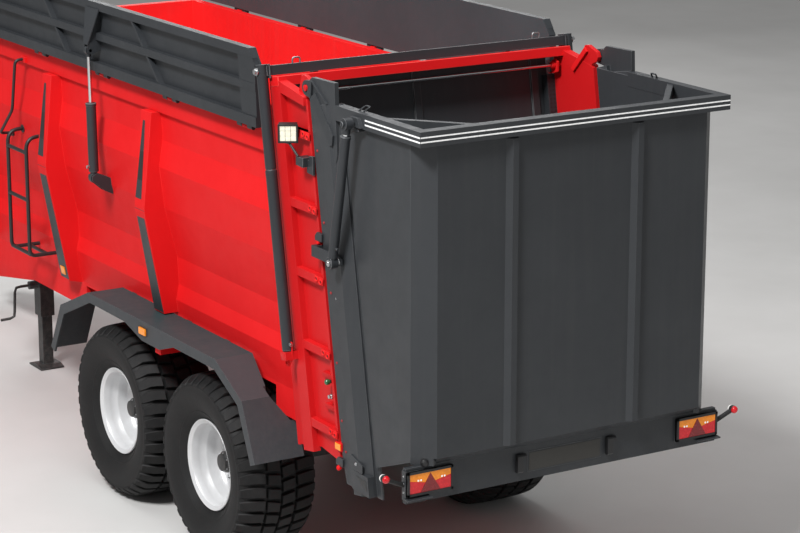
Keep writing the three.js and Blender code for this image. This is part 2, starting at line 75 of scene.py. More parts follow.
def noise(nt, scale, detail=3.0, rough=0.5, co=None, dist=0.0):
    n = nt.nodes.new("ShaderNodeTexNoise")
    n.inputs["Scale"].default_value = scale
    n.inputs["Detail"].default_value = detail
    n.inputs["Roughness"].default_value = rough
    n.inputs["Distortion"].default_value = dist
    if co is not None:
        nt.links.new(co, n.inputs["Vector"])
    return n.outputs["Fac"]


def coords(nt, scale=(1, 1, 1)):
    t = nt.nodes.new("ShaderNodeTexCoord")
    mp = nt.nodes.new("ShaderNodeMapping")
    mp.inputs["Scale"].default_value = scale
    nt.links.new(t.outputs["Object"], mp.inputs["Vector"])
    return mp.outputs["Vector"]


def ramp(nt, fac, lo, hi, a=0.0, b=1.0):
    r = nt.nodes.new("ShaderNodeMapRange")
    r.inputs["From Min"].default_value = lo
    r.inputs["From Max"].default_value = hi
    r.inputs["To Min"].default_value = a
    r.inputs["To Max"].default_value = b
    nt.links.new(fac, r.inputs["Value"])
    return r.outputs["Result"]


def mix(nt, fac, a, b, mode="MIX"):
    m = nt.nodes.new("ShaderNodeMix")
    m.data_type = "RGBA"
    m.blend_type = mode
    if isinstance(fac, (int, float)):
        m.inputs["Factor"].default_value = fac
    else:
        nt.links.new(fac, m.inputs["Factor"])
    for k, v in (("A", a), ("B", b)):
        s = [i for i in m.inputs if i.name == k and i.type == "RGBA"][0]
        if isinstance(v, (tuple, list)):
            s.default_value = (v[0], v[1], v[2], 1)
        else:
            nt.links.new(v, s)
    return [o for o in m.outputs if o.type == "RGBA"][0]


def math_node(nt, op, a, b):
    m = nt.nodes.new("ShaderNodeMath")
    m.operation = op
    for i, v in enumerate((a, b)):
        if isinstance(v, (int, float)):
            m.inputs[i].default_value = v
        else:
            nt.links.new(v, m.inputs[i])
    return m.outputs[0]


def bump(nt, bsdf, height, strength, distance):
    b = nt.nodes.new("ShaderNodeBump")
    b.inputs["Strength"].default_value = strength
    b.inputs["Distance"].default_value = distance
    nt.links.new(height, b.inputs["Height"])
    nt.links.new(b.outputs["Normal"], bsdf.inputs["Normal"])
    return b


def paint(name, base, rough=0.35, coat=0.0, var=0.10, edge=(0.9, 0.9, 0.9), edge_highlight_amt=0.10, dust=0.10,
          dust_col=(0.30, 0.27, 0.235), metallic=0.0, peel=0.05, streak=0.0, dust_top=1.5, spec=0.5):
    m, nt, b = new_mat(name)
    co = coords(nt)
    big = noise(nt, 1.3, 4, 0.55, co)
    mid = noise(nt, 9.0, 3, 0.6, co)
    fine = noise(nt, 210.0, 2, 0.5, co)
    dark = tuple(c * (1 - var) for c in base)
    light = tuple(min(1.0, c * (1 + var) + 0.004) for c in base)
    col = mix(nt, ramp(nt, big, 0.3, 0.7), dark, light)
    col = mix(nt, ramp(nt, mid, 0.45, 0.8, 0.0, 0.35), col, tuple(c * 0.93 for c in base))
    # painted highlight: rolled edges take the lighter edge colour, patchy by noise
    at = nt.nodes.new("ShaderNodeAttribute")
    at.attribute_name = "rolled_edge"
    w = math_node(nt, "MULTIPLY", at.outputs["Fac"], ramp(nt, mid, 0.35, 0.65, 0.3, 1.0))
    col = mix(nt, math_node(nt, "MULTIPLY", w, edge_highlight_amt), col, edge)
    # road dust that fades upwards
    sep = nt.nodes.new("ShaderNodeSeparateXYZ")
    nt.links.new(co, sep.inputs[0])
    low = ramp(nt, sep.outputs["Z"], dust_top, 0.1)
    spots = ramp(nt, noise(nt, 26.0, 5, 0.7, co), 0.40, 0.75)
    d = math_node(nt, "MULTIPLY", math_node(nt, "MULTIPLY", low, spots), dust)
    d = math_node(nt, "ADD", d, math_node(nt, "MULTIPLY", spots, dust * 0.10))
    col = mix(nt, d, col, dust_col)
    if streak:
        sc = coords(nt, (22.0, 22.0, 0.8))
        st = ramp(nt, noise(nt, 1.0, 4, 0.6, sc), 0.5, 0.85)
        col = mix(nt, math_node(nt, "MULTIPLY", st, streak), col, dust_col)
    nt.links.new(col, b.inputs["Base Color"])
    r = ramp(nt, mid, 0.25, 0.75, rough * 0.88, rough * 1.14)
    r = math_node(nt, "ADD", r, math_node(nt, "MULTIPLY", d, 0.5))
    nt.links.new(r, b.inputs["Roughness"])
    b.inputs["Metallic"].default_value = metallic
    b.inputs["Specular IOR Level"].default_value = spec
    if coat:
        b.inputs["Coat Weight"].default_value = coat
        b.inputs["Coat Roughness"].default_value = 0.12
    bump(nt, b, math_node(nt, "ADD", fine, math_node(nt, "MULTIPLY", mid, 1.6)), peel, 0.0012)
    return m


def metal(name, base, rough=0.3, brushed=(1, 1, 1), metallic=1.0, var=0.12):
    m, nt, b = new_mat(name)
    co = coords(nt, brushed)
    n = noise(nt, 60.0, 4, 0.6, co)
    s = noise(nt, 6.0, 3, 0.6, coords(nt))
    col = mix(nt, ramp(nt, n, 0.3, 0.7), tuple(c * (1 - var) for c in base), base)
    col = mix(nt, ramp(nt, s, 0.55, 0.85, 0.0, 0.3), col, tuple(c * 0.7 for c in base))
    nt.links.new(col, b.inputs["Base Color"])
    nt.links.new(ramp(nt, n, 0.2, 0.8, rough * 0.75, rough * 1.35), b.inputs["Roughness"])
    b.inputs["Metallic"].default_value = metallic
    bump(nt, b, n, 0.05, 0.0008)
    return m


def rubber(name, base=(0.0085, 0.0085, 0.009), rough=0.60, dust=0.10, scale=1.0):
    m, nt, b = new_mat(name)
    co = coords(nt)
    big = noise(nt, 3.0, 4, 0.6, co)
    fine = noise(nt, 160.0 * scale, 3, 0.6, co)
    col = mix(nt, ramp(nt, big, 0.3, 0.7), tuple(c * 0.8 for c in base), tuple(c * 1.35 for c in base))
    d = math_node(nt, "MULTIPLY", ramp(nt, noise(nt, 14.0, 6, 0.72, co), 0.42, 0.8), dust)
    at = nt.nodes.new("ShaderNodeAttribute")
    at.attribute_name = "rolled_edge"
    d2 = math_node(nt, "ADD", d, math_node(nt, "MULTIPLY", at.outputs["Fac"], 0.05))
    col = mix(nt, d2, col, (0.10, 0.092, 0.082))
    nt.links.new(col, b.inputs["Base Color"])
    nt.links.new(ramp(nt, fine, 0.2, 0.8, rough * 0.9, rough * 1.12), b.inputs["Roughness"])
    b.inputs["Specular IOR Level"].default_value = 0.35
    bump(nt, b, fine, 0.16, 0.0012)
    return m


def plastic(name, base, rough=0.35, coat=0.0, emit=None, emit_strength=0.0, cells=0.0, trans=0.0):
    m, nt, b = new_mat(name)
    co = coords(nt)
    n = noise(nt, 40.0, 3, 0.6, co)
    col = mix(nt, ramp(nt, n, 0.3, 0.7), tuple(c * 0.86 for c in base), tuple(min(1, c * 1.08) for c in base))
    if cells:
        v = nt.nodes.new("ShaderNodeTexVoronoi")
        v.inputs["Scale"].default_value = cells
        nt.links.new(co, v.inputs["Vector"])
        col = mix(nt, ramp(nt, v.outputs["Distance"], 0.0, 0.6, 0.45, 0.0), col, tuple(min(1, c * 1.5 + 0.03) for c in base))
        bump(nt, b, v.outputs["Distance"], 0.35, 0.002)
    else:
        bump(nt, b, noise(nt, 260.0, 2, 0.5, co), 0.06, 0.0008)
    nt.links.new(col, b.inputs["Base Color"])
    nt.links.new(ramp(nt, n, 0.2, 0.8, rough * 0.85, rough * 1.2), b.inputs["Roughness"])
    if coat:
        b.inputs["Coat Weight"].default_value = coat
        b.inputs["Coat Roughness"].default_value = 0.06
    if emit:
        b.inputs["Emission Color"].default_value = (*emit, 1)
        b.inputs["Emission Strength"].default_value = emit_strength
    if trans:
        b.inputs["Transmission Weight"].default_value = trans
    return m


M_RED = paint("red_paint", (0.70, 0.011, 0.013), rough=0.47, coat=0.0, var=0.04, edge=(0.95, 0.14, 0.12), edge_highlight_amt=0.55, dust=0.03, spec=0.07)
# a darker copy of the red paint for the spreading frame: painted shade for its recessed, shadowed sides
M_RED_FR_SHADE = paint("red_paint_frame_painted_shade", (0.55, 0.008, 0.010), rough=0.44, coat=0.0, var=0.05, edge=(0.90, 0.12, 0.10), edge_highlight_amt=0.50, dust=0.05, spec=0.18)
# a lighter copy of the red paint for the inside of the box: painted light against the shade there; its streaks and dust
# are dirt
M_RED_IN_LIT = paint("red_paint_interior_painted_light", (0.80, 0.014, 0.015), rough=0.46, var=0.06, edge=(1.0, 0.25, 0.2), edge_highlight_amt=0.4, dust=0.05, streak=0.04, spec=0.25)
M_GREY = paint("anthracite_paint", (0.025, 0.028, 0.032), rough=0.44, coat=0.05, spec=0.35, var=0.07, edge=(0.34, 0.35, 0.36), edge_highlight_amt=0.55, dust=0.08)
# a lighter, bluer copy of the anthracite paint for the extensions' inner faces: painted light against their shade and
# the red light bounced onto them
M_GREY_IN_LIT = paint("anthracite_paint_inside_painted_light", (0.044, 0.058, 0.064), rough=0.50, coat=0.0, var=0.07, edge=(0.34, 0.35, 0.36), edge_highlight_amt=0.45, dust=0.05, spec=0.3)
M_GREY_HOOD = paint("anthracite_paint_hood", (0.032, 0.035, 0.039), rough=0.47, coat=0.03, spec=0.35, var=0.06, edge=(0.30, 0.31, 0.32), edge_highlight_amt=0.50, dust=0.06, peel=0.04, streak=0.025)
M_GUARD = paint("anthracite_mudguard", (0.042, 0.046, 0.051), rough=0.50, coat=0.0, var=0.06, edge=(0.32, 0.33, 0.34), edge_highlight_amt=0.6, dust=0.10, peel=0.10, spec=0.3)
# a cooler, greener copy of the mudguard paint for the upward faces: painted light, cancelling the red light bounced
# onto the tops
M_GUARD_TOP_TINTED = paint("anthracite_mudguard_top_painted_light", (0.026, 0.050, 0.054), rough=0.55, coat=0.0, var=0.06, edge=(0.30, 0.33, 0.34), edge_highlight_amt=0.6, dust=0.06, peel=0.10, spec=0.2)
M_DKREDP = paint("dark_red_bolt_paint", (0.30, 0.012, 0.014), rough=0.5, var=0.10, edge=(0.5, 0.05, 0.05), edge_highlight_amt=0.3, dust=0.05)
M_BLACK = paint("black_paint", (0.015, 0.0155, 0.0165), rough=0.45, var=0.10, edge=(0.16, 0.16, 0.165), edge_highlight_amt=0.35, dust=0.20)
M_RIM = paint("silver_wheel_paint", (0.66, 0.665, 0.675), rough=0.34, coat=0.10, var=0.05, edge=(0.95, 0.95, 0.95), edge_highlight_amt=0.3, dust=0.12, dust_col=(0.36, 0.34, 0.31), metallic=0.20)
M_TYRE = rubber("tyre_rubber", (0.0060, 0.0060, 0.0064), 0.66, 0.05)
M_TREAD = rubber("tyre_tread_rubber", (0.0065, 0.0065, 0.0070), 0.66, 0.10)
M_RUBBER = rubber("moulded_rubber", (0.014, 0.014, 0.015), 0.55, 0.10, 1.6)
M_STEEL = metal("zinc_steel", (0.58, 0.59, 0.60), 0.32)
M_FLOOR_STEEL = metal("worn_steel", (0.34, 0.33, 0.32), 0.45, (0.3, 4, 4), 0.9, 0.25)
M_CHROME = metal("ground_chrome", (0.80, 0.81, 0.82), 0.13, (6, 6, 0.5), 1.0, 0.05)
M_ORANGE = plastic("amber_lens", (0.82, 0.235, 0.004), 0.22, 0.22, (1.0, 0.30, 0.0), 0.12, 70.0)
M_REDLENS = plastic("red_lens", (0.50, 0.003, 0.009), 0.22, 0.22, (1.0, 0.0, 0.01), 0.10, 70.0)
M_DKRED = plastic("dark_red_reflector", (0.20, 0.003, 0.006), 0.25, 0.25, None, 0, 150.0)
M_WHITELENS = plastic("clear_lens", (0.86, 0.86, 0.84), 0.16, 0.6, (1.0, 0.98, 0.92), 0.25, 60.0)
M_LED = plastic("led_lens", (0.72, 0.72, 0.60), 0.18, 0.5, (1.0, 0.95, 0.72), 0.35, 45.0)
M_BLKPL = plastic("black_plastic", (0.013, 0.013, 0.014), 0.40)
# the reflective strips glow faintly by emission: a painted glow, as they are no lamp
M_REFLECT_GLOW = plastic("white_reflective_strip_painted_glow", (0.92, 0.92, 0.92), 0.28, 0.2, (1, 1, 1), 0.10, 190.0)
M_GREEN = plastic("green_cap", (0.010, 0.11, 0.035), 0.30, 0.3)
M_PLATE = plastic("blank_plate", (0.036, 0.034, 0.030), 0.50)


# ------------------------------------------------------------------ mesh tools
class G:
    """Closed shells, given in millimetres from the rear axle, gathered into one mesh."""

    def __init__(self):
        self.v, self.f, self.m = [], [], []

    def add(self, verts, faces, mat=0):
        o = len(self.v)
        self.v += [tuple(p) for p in verts]
        self.f += [tuple(i + o for i in f) for f in faces]
        self.m += [mat] * len(faces)
        return self

    def prism(self, pts, d0, d1, plane="XZ", mat=0, basis=None, origin=(0, 0, 0)):
        if basis:
            U, V, N = basis
        else:
            U, V, N = {"XZ": (Vector((1, 0, 0)), Vector((0, 0, 1)), E_Y), "YZ": (E_Y, Vector((0, 0, 1)), Vector((1, 0, 0))),
                       "XY": (Vector((1, 0, 0)), E_Y, Vector((0, 0, 1)))}[plane]
        O = Vector(origin)
        n = len(pts)
        vs = [O + U * p[0] + V * p[1] + N * d for d in (d0, d1) for p in pts]
        fs = [tuple(range(n))[::-1], tuple(range(n, 2 * n))]
        fs += [(i, (i + 1) % n, n + (i + 1) % n, n + i) for i in range(n)]
        return self.add(vs, fs, mat)

    def box(self, x0, x1, y0, y1, z0, z1, mat=0):
        return self.prism([(x0, z0), (x1, z0), (x1, z1), (x0, z1)], y0, y1, "XZ", mat)

    def lean(self, a0, a1, b0, b1, y0, y1, mat=0):
        return self.prism([lp(a0, b0), lp(a1, b0), lp(a1, b1), lp(a0, b1)], y0, y1, "XZ", mat)

    def tube(self, pts, r, n=16, mat=0, closed=False, radii=None):
        P = [Vector(p) for p in pts]
        k = len(P)
        if closed:
            T = [(P[(i + 1) % k] - P[i - 1]).normalized() for i in range(k)]
        else:
            T = [(P[min(i + 1, k - 1)] - P[max(i - 1, 0)]).normalized() for i in range(k)]
        up = Vector((0, 0, 1)) if abs(T[0].z) < 0.9 else Vector((1, 0, 0))
        N = (up - T[0] * up.dot(T[0])).normalized()
        vs, fs = [], []
        for i in range(k):
            if i:
                ax = T[i - 1].cross(T[i])
                if ax.length > 1e-9:
                    N = Matrix.Rotation(T[i - 1].angle(T[i]), 3, ax.normalized()) @ N
                N = (N - T[i] * N.dot(T[i])).normalized()
            B = T[i].cross(N)
            rr = radii[i] if radii else r
            for j in range(n):
                w = 2 * math.pi * j / n
                vs.append(P[i] + (N * math.cos(w) + B * math.sin(w)) * rr)
        m = k if closed else k - 1
        for i in range(m):
            for j in range(n):
                a, b = i * n + j, i * n + (j + 1) % n
                c, d = ((i + 1) % k) * n + (j + 1) % n, ((i + 1) % k) * n + j
                fs.append((a, b, c, d))
        if not closed:
            fs.append(tuple(range(n))[::-1])
            fs.append(tuple(range((k - 1) * n, k * n)))
        return self.add(vs, fs, mat)

    def cyl(self, p, q, r, n=20, mat=0):
        return self.tube([p, q], r, n, mat)

    def ring(self, c, axis, R, r, n=20, m=8, mat=0):
        ax = Vector(axis).normalized()
        u = ax.orthogonal().normalized()
        w = ax.cross(u)
        pts = [Vector(c) + (u * math.cos(t) + w * math.sin(t)) * R for t in [2 * math.pi * i / n for i in range(n)]]
        return self.tube(pts, r, m, mat, True)

    def lathe(self, prof, c, axis=(0, 1, 0), n=64, mat=0, closed=True, mats=None):
        """prof: (radius, distance along the axis) points of a closed section."""
        ax = Vector(axis).normalized()
        u = Vector((0, 0, 1)) if abs(ax.z) < 0.9 else Vector((1, 0, 0))
        u = (u - ax * u.dot(ax)).normalized()
        w = ax.cross(u)
        C = Vector(c)
        k = len(prof)
        vs, fs, ms = [], [], []
        for i in range(n):
            t = 2 * math.pi * i / n
            d = u * math.cos(t) + w * math.sin(t)
            vs += [C + d * p[0] + ax * p[1] for p in prof]
        for i in range(n):
            i2 = (i + 1) % n
            for j in range(k if closed else k - 1):
                j2 = (j + 1) % k
                q = (i * k + j, i2 * k + j, i2 * k + j2, i * k + j2)
                fs.append(q)
                ms.append(mats[j] if mats else mat)
        o = len(self.v)
        self.v += [tuple(p) for p in vs]
        self.f += [tuple(x + o for x in f) for f in fs]
        self.m += ms
        return self

    def dome(self, c, axis, r, h, n=20, steps=5, mat=0, base=0.0):
        """A low dome closed underneath."""
        prof = [(0.001, -base)] + [(r, -base)] if base else [(0.001, 0.0)]
        prof += [(max(0.001, r * math.cos(t)), h * math.sin(t)) for t in [i * math.pi / 2 / steps for i in range(steps + 1)]]
        return self.lathe(prof, c, axis, n, mat)

    def bolt(self, c, axis, r=9.0, h=8.0, mat=0):
        """A hexagon head on a washer."""
        ax = Vector(axis).normalized()
        C = Vector(c)
        self.tube([C, C + ax * (h * 0.25)], r * 1.25, 16, mat)
        return self.tube([C + ax * (h * 0.25), C + ax * h * 0.86, C + ax * h], r, 6, mat, False, [r, r, r * 0.86])


def finish_mesh(name, bm, mats, body, slot, replaces=(), bevel=0.0, angle=28.0, segs=2, smooth=42.0, weighted=True, facet=False):
    bm.faces.ensure_lookup_table()
    rolled_edge = bm.faces.layers.float.new("rolled_edge")
    if bevel:
        edges = []
        for e in bm.edges:
            if len(e.link_faces) == 2 and e.calc_face_angle(0.0) > math.radians(angle):
                edges.append(e)
        if edges:
            bmesh.ops.bevel(bm, geom=edges, offset=bevel, offset_type="OFFSET", segments=segs, profile=0.5,
                            affect="EDGES", clamp_overlap=True, loop_slide=True, material=99)
            rolled = [f for f in bm.faces if f.material_index == 99]
            for f in rolled:
                f[rolled_edge] = 1.0
            for _ in range(8):  # a rolled edge takes the paint of the face beside it
                left = []
                for f in rolled:
                    near = [q.material_index for e in f.edges for q in e.link_faces if q.material_index != 99]
                    if near:
                        left.append((f, near[0]))
                for f, mi in left:
                    f.material_index = mi
                rolled = [f for f in rolled if f.material_index == 99]
                if not rolled:
                    break
            for f in rolled:
                f.material_index = 0
    # folds of sheet metal stay crisp; round parts and rolled edges stay smooth
    bm.verts.index_update()
    if facet:
        sharp = set()
        for e in bm.edges:
            if len(e.link_faces) == 2 and all(f[rolled_edge] < 0.5 for f in e.link_faces):
                t = math.degrees(e.calc_face_angle(0.0))
                if t > 1.5 and not any(abs(t - q) < 0.35 for q in (15.0, 18.0, 22.5, 25.714, 30.0, 45.0)):
                    sharp.add(tuple(sorted((e.verts[0].index, e.verts[1].index))))
    me = bpy.data.meshes.new(name)
    bm.to_mesh(me)
    bm.free()
    for m in mats:
        me.materials.append(m)
    if me.attributes.get("custom_normal"):
        me.attributes.remove(me.attributes["custom_normal"])
    me.polygons.foreach_set("use_smooth", [True] * len(me.polygons))
    me.set_sharp_from_angle(angle=math.radians(smooth))
    if facet:
        at = me.attributes.get("sharp_edge") or me.attributes.new("sharp_edge", "BOOLEAN", "EDGE")
        for i, e in enumerate(me.edges):
            if tuple(sorted(e.vertices)) in sharp:
                at.data[i].value = True
        # large sheets are flat between their folds
        rolled_flags = [d.value for d in me.attributes["rolled_edge"].data]
        me.polygons.foreach_set("use_smooth", [w > 0.5 or q.area < 0.004 for w, q in zip(rolled_flags, me.polygons)])
        me.update()
        weighted = False
    ob = bpy.data.objects.new(name, me)
    bpy.context.scene.collection.objects.link(ob)
    if weighted:
        wn = ob.modifiers.new("weighted", "WEIGHTED_NORMAL")
        wn.keep_sharp = True
        wn.weight = 80
    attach(ob, body)
    if replaces:
        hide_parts(*replaces)
    return ob


def make(name, g, body, mats, slot, replaces=(), bevel=1.5, **kw):
    bm = bmesh.new()
    vs = [bm.verts.new(W(p)) for p in g.v]
    for f, mi in zip(g.f, g.m):
        try:
            fc = bm.faces.new([vs[i] for i in f])
            fc.material_index = mi
        except ValueError:
            pass
    bmesh.ops.recalc_face_normals(bm, faces=bm.faces[:])
    return finish_mesh(name, bm, mats if isinstance(mats, (list, tuple)) else [mats], body, slot, replaces, bevel / 1000.0, **kw)


def skin(node, body, mat, slot, bevel=2.5, extra=None, name=None, mats=None, pick=None, **kw):
    """The CAD node's own shape with rolled edges, and anything in extra welded on as more shells."""
    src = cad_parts[node]
    bm = bmesh.new()
    bm.from_mesh(src.data)
    for f in bm.faces:
        f.material_index = 0
    bmesh.ops.remove_doubles(bm, verts=bm.verts[:], dist=2e-5)
    bmesh.ops.dissolve_limit(bm, angle_limit=math.radians(0.4), use_dissolve_boundaries=False, verts=bm.verts[:], edges=bm.edges[:])
    if pick:
        for f in bm.faces:
            f.material_index = pick(f.calc_center_median(), f.normal)
    if extra:
        vs = [bm.verts.new(W(p)) for p in extra.v]
        new = []
        for f, mi in zip(extra.f, extra.m):
            try:
                fc = bm.faces.new([vs[i] for i in f])
                fc.material_index = mi
                new.append(fc)
            except ValueError:
                pass
        bmesh.ops.recalc_face_normals(bm, faces=new)
    kw.setdefault("facet", True)
    return finish_mesh(name or node + "_skin", bm, mats or [mat], body, slot, (node,), bevel / 1000.0, **kw)


def arc(p0, p1, p2, r, steps=6):
    """Points that round the corner p1 of a path."""
    a, b, c = Vector(p0), Vector(p1), Vector(p2)
    s, e = b + (a - b).normalized() * r, b + (c - b).normalized() * r
    return [(s * (1 - t) ** 2 + b * 2 * t * (1 - t) + e * t * t) for t in [i / steps for i in range(steps + 1)]]


def bent(pts, r, steps=6):
    out = [Vector(pts[0])]
    for i in range(1, len(pts) - 1):
        out += arc(pts[i - 1], pts[i], pts[i + 1], r, steps)
    out.append(Vector(pts[-1]))
    return out


# ------------------------------------------------------------------ camera
cam_data = bpy.data.cameras.new("camera")
cam = bpy.data.objects.new("camera", cam_data)
bpy.context.scene.collection.objects.link(cam)
bpy.context.scene.camera = cam
cam_data.sensor_width = 36.0
cam_data.lens = 114.59
cam_data.clip_end = 200
cam.location = W((-13921.14, 8227.34, 5925.59))
cam.rotation_mode = "QUATERNION"
fwd = Vector((math.cos(0.251814) * math.cos(-0.549289), math.cos(0.251814) * math.sin(-0.549289), -math.sin(0.251814)))
cam.rotation_quaternion = fwd.to_track_quat("-Z", "Y")

# ------------------------------------------------------------------ wheels
TYRE = [(276, 186), (292, 196), (304, 199), (316, 208), (330, 222), (352, 238), (356, 241), (362, 240), (392, 257), (430, 268),
        (468, 273.5), (500, 274.5), (520, 271), (523, 272), (528, 269), (540, 258), (553, 240), (563, 216), (568, 186), (571, 120),
        (573, 60), (573.5, 0)]


def tyre_geometry():
    g = G()
    prof = [(r, y) for r, y in TYRE] + [(r, -y) for r, y in TYRE[::-1][1:]]
    mats = [0] * len(prof)
    g.lathe(prof, (0, 0, 0), (0, 1, 0), 96, 0, True, mats)
    n = 40

    def crown(y):
        y = abs(y)
        return 600 - 7.0 * (y / 200.0) ** 2 if y < 200 else 593 - 0.42 * (y - 200) ** 1.12

    def block(outline, base=571.0):
        """outline: (s along the tread in mm, y); the top is domed to the crown, its edge chamfered."""
        cx = sum(p[0] for p in outline) / len(outline)
        cy = sum(p[1] for p in outline) / len(outline)

        def at(s, y, r):
            t = s / 600.0
            return (r * math.sin(t), y, r * math.cos(t))
        k = len(outline)
        lo = [at(s, y, min(base, crown(y) - 16)) for s, y in outline]
        mid = [at(s + (cx - s) * 0.03, y + (cy - y) * 0.03, crown(y) - 5) for s, y in outline]
        top = [at(s + (cx - s) * 0.13, y + (cy - y) * 0.05, crown(y)) for s, y in outline]
        fs = [tuple(range(k))[::-1], tuple(range(2 * k, 3 * k))]
        for L in (0, k):
            fs += [(L + i, L + (i + 1) % k, L + k + (i + 1) % k, L + k + i) for i in range(k)]
        g.add(lo + mid + top, fs, 1)

    pitch = 2 * math.pi * 600 / n
    for i in range(n):
        for side in (1, -1):
            s0 = (i + (0.5 if side < 0 else 0.0)) * pitch
            L = pitch - 23
            # centre block, slanted
            block([(s0 + 0, 7 * side), (s0 + L, 7 * side), (s0 + L + 10, 52 * side), (s0 + L + 16, 96 * side), (s0 + 16, 96 * side), (s0 + 10, 52 * side)])
            # shoulder block that runs down onto the sidewall
            o = s0 + 28
            block([(o, 112 * side), (o + L, 112 * side), (o + L + 8, 160 * side), (o + L + 12, 205 * side), (o + L + 6, 240 * side),
                   (o + L - 2, 262 * side), (o + L - 8, 272 * side), (o + 10, 272 * side), (o + 6, 262 * side), (o + 7, 240 * side),
                   (o + 12, 205 * side), (o + 8, 160 * side)], 556.0)
    return g


RIM_SECTION = [(52, -24), (52, -160), (60, -165), (200, -165), (205, -160), (205, -34), (212, -30), (236, -30), (252, -30), (262, -44), (262, -150),
               (258, -172), (264, -190), (280, -196), (292, -199), (297, -205), (299.5, -211), (299.5, -203), (296, -196), (279, -188),
               (275, -184), (274, -120), (264, -96), (262, -60), (262, 60), (264, 96), (274, 120), (275, 184), (279, 188), (296, 196), (300, 203),
               (300.5, 209), (297, 213), (291, 211), (284, 205), (272, 199), (266, 188), (263, 150), (261, 118), (252, 104), (249, 92), (249, 40),
               (244, 18), (228, -2), (214, -8), (200, -4), (184, 4), (160, 8), (118, 8), (100, 2), (96, -10), (96, -24)]


def wheel(body, cx, side):
    c = (cx, side * 939.0, 600.0)
    g = tyre_geometry()
    g.v = [(p[0] + c[0], side * p[1] + c[1], p[2] + c[2]) for p in g.v]
    make("tyre_" + body[6:] + "_tread", g, body, [M_TYRE, M_TREAD], "tyre", ("tyre_" + body[6:],), 0, smooth=32.0, weighted=False)
    g = G()
    ax = (0, side, 0)
    g.lathe(RIM_SECTION, c, ax, 96)
    for i in range(10):  # studs' raised seats
        t = 2 * math.pi * (i + 0.5) / 10
        q = Vector((c[0] + 140 * math.sin(t), c[1], c[2] + 140 * math.cos(t)))
        g.lathe([(0.01, 4), (24, 4), (24, 9), (19, 12), (0.01, 12)], q, ax, 18)
    for i in range(8):  # pressed dimples of the disc
        t = 2 * math.pi * i / 8
        q = Vector((c[0] + 222 * math.sin(t), c[1], c[2] + 222 * math.cos(t)))
        g.lathe([(0.01, -14), (10, -14), (10, -3), (7, -1), (0.01, -1)], q, ax, 12)
    make("rim_" + body[6:] + "_pressed", g, body, M_RIM, "rim", ("rim_" + body[6:],), 0, smooth=30.0, weighted=False)
    g = G()
    # hub with flange, studs and dust cap
    g.lathe([(0.01, -30), (94, -30), (94, 2), (88, 14), (78, 18), (74, 60), (70, 96), (58, 106), (56, 122), (44, 126), (0.01, 126)], c, ax, 40)
    for i in range(10):
        t = 2 * math.pi * (i + 0.5) / 10
        q = Vector((c[0] + 140 * math.sin(t), c[1], c[2] + 140 * math.cos(t)))
        A = Vector(ax)
        g.tube([q + A * 12, q + A * 34, q + A * 37], 16, 6, 1, False, [16, 16, 13])
        g.tube([q + A * 30, q + A * 52], 9, 12, 1)
    for i in range(6):
        t = 2 * math.pi * i / 6
        q = Vector((c[0] + 60 * math.sin(t), c[1] + side * 106, c[2] + 60 * math.cos(t)))
        g.bolt(q, ax, 5, 5, 1)
    t = math.radians(40)
    q = Vector((c[0] + 236 * math.sin(t), c[1], c[2] + 236 * math.cos(t)))
    A = Vector(ax)
    g.tube([q + A * 6, q + A * 30, q + A * 52], 5, 8, 0, False, [7, 5, 4])
    make("hub_" + body[6:], g, body, [M_BLACK, M_STEEL], "black", (), 1.2)


for nm, cx in (("front", 1346.0), ("rear", 0.0)):
    for s, k in SIDES:
        wheel(f"wheel_{nm}_{s}", cx, k)

# ------------------------------------------------------------------ load body
for s, k in SIDES:
    node = "side_wall_" + s

    def wall_pick(c, n, k=k):
        if 1.650 - 1.978 < c.x < 1.730 - 1.978 and 2.04 < c.z < 2.22 and c.y * k > 1.022:
            return 2
        return 1 if n.y * k < -0.5 and c.z > 1.2 and c.y * k < 1.0 else 0
    # inward faces of the walls take the lighter interior copy of the red paint: painted light
    skin(node, "frame", M_RED, "red", 2.5, mats=[M_RED, M_RED_IN_LIT, M_GREY], pick=wall_pick)
    # two-tone strips on the outside of the ribs
    g = G()
    for x, low in ((840, 1394), (2430, 1262), (4020, 1262)):
        cx = x + 94
        up = [(1092, 2762), (1160, 2130)]
        dn = [(1158, 2090), (1032 if low > 1300 else 1004, low)]

        def strip(seg, t0, t1, w0, w1, mat, lift=0.6, thick=1.4):
            (ya, za), (yb, zb) = seg
            d = Vector((0, yb - ya, zb - za))
            L = d.length
            d.normalize()
            nrm = Vector((0, -d.z, d.y))
            if nrm.y < 0:
                nrm = -nrm
            O = Vector((cx, ya, za))
            pts = [(-w0 / 2, t0 * L), (w0 / 2, t0 * L), (w1 / 2, t1 * L), (-w1 / 2, t1 * L)]
            g0 = len(g.v)
            g.prism(pts, lift, lift + thick, mat=mat, basis=(Vector((1, 0, 0)), d, nrm), origin=O)
        strip(up, 0.10, 0.42, 30, 54, 0)
        strip(up, 0.42, 0.73, 54, 74, 1, 0.6, 1.0)
        strip(up, 0.73, 0.92, 74, 88, 0)
        cx = x + 73.5
        strip(dn, 0.05, 0.99, 108, 138, 0)
        # fold line across the bend, a black strip: painted shade in the crease
        g.box(x + 1, x + 144, 1150, 1159.6, 2108, 2111, 2)
        if x == 2430:
            d = Vector((0, dn[1][0] - dn[0][0], dn[1][1] - dn[0][1]))
            strip(dn, 0.885, 0.955, 66, 66, 3, 2.0, 6.0)
    g.v = [(p[0], k * p[1], p[2]) for p in g.v]
    make("rib_strips_" + s, g, "frame", [M_GREY, M_BLKPL, M_BLACK, M_ORANGE], "grey", (), 0.3)
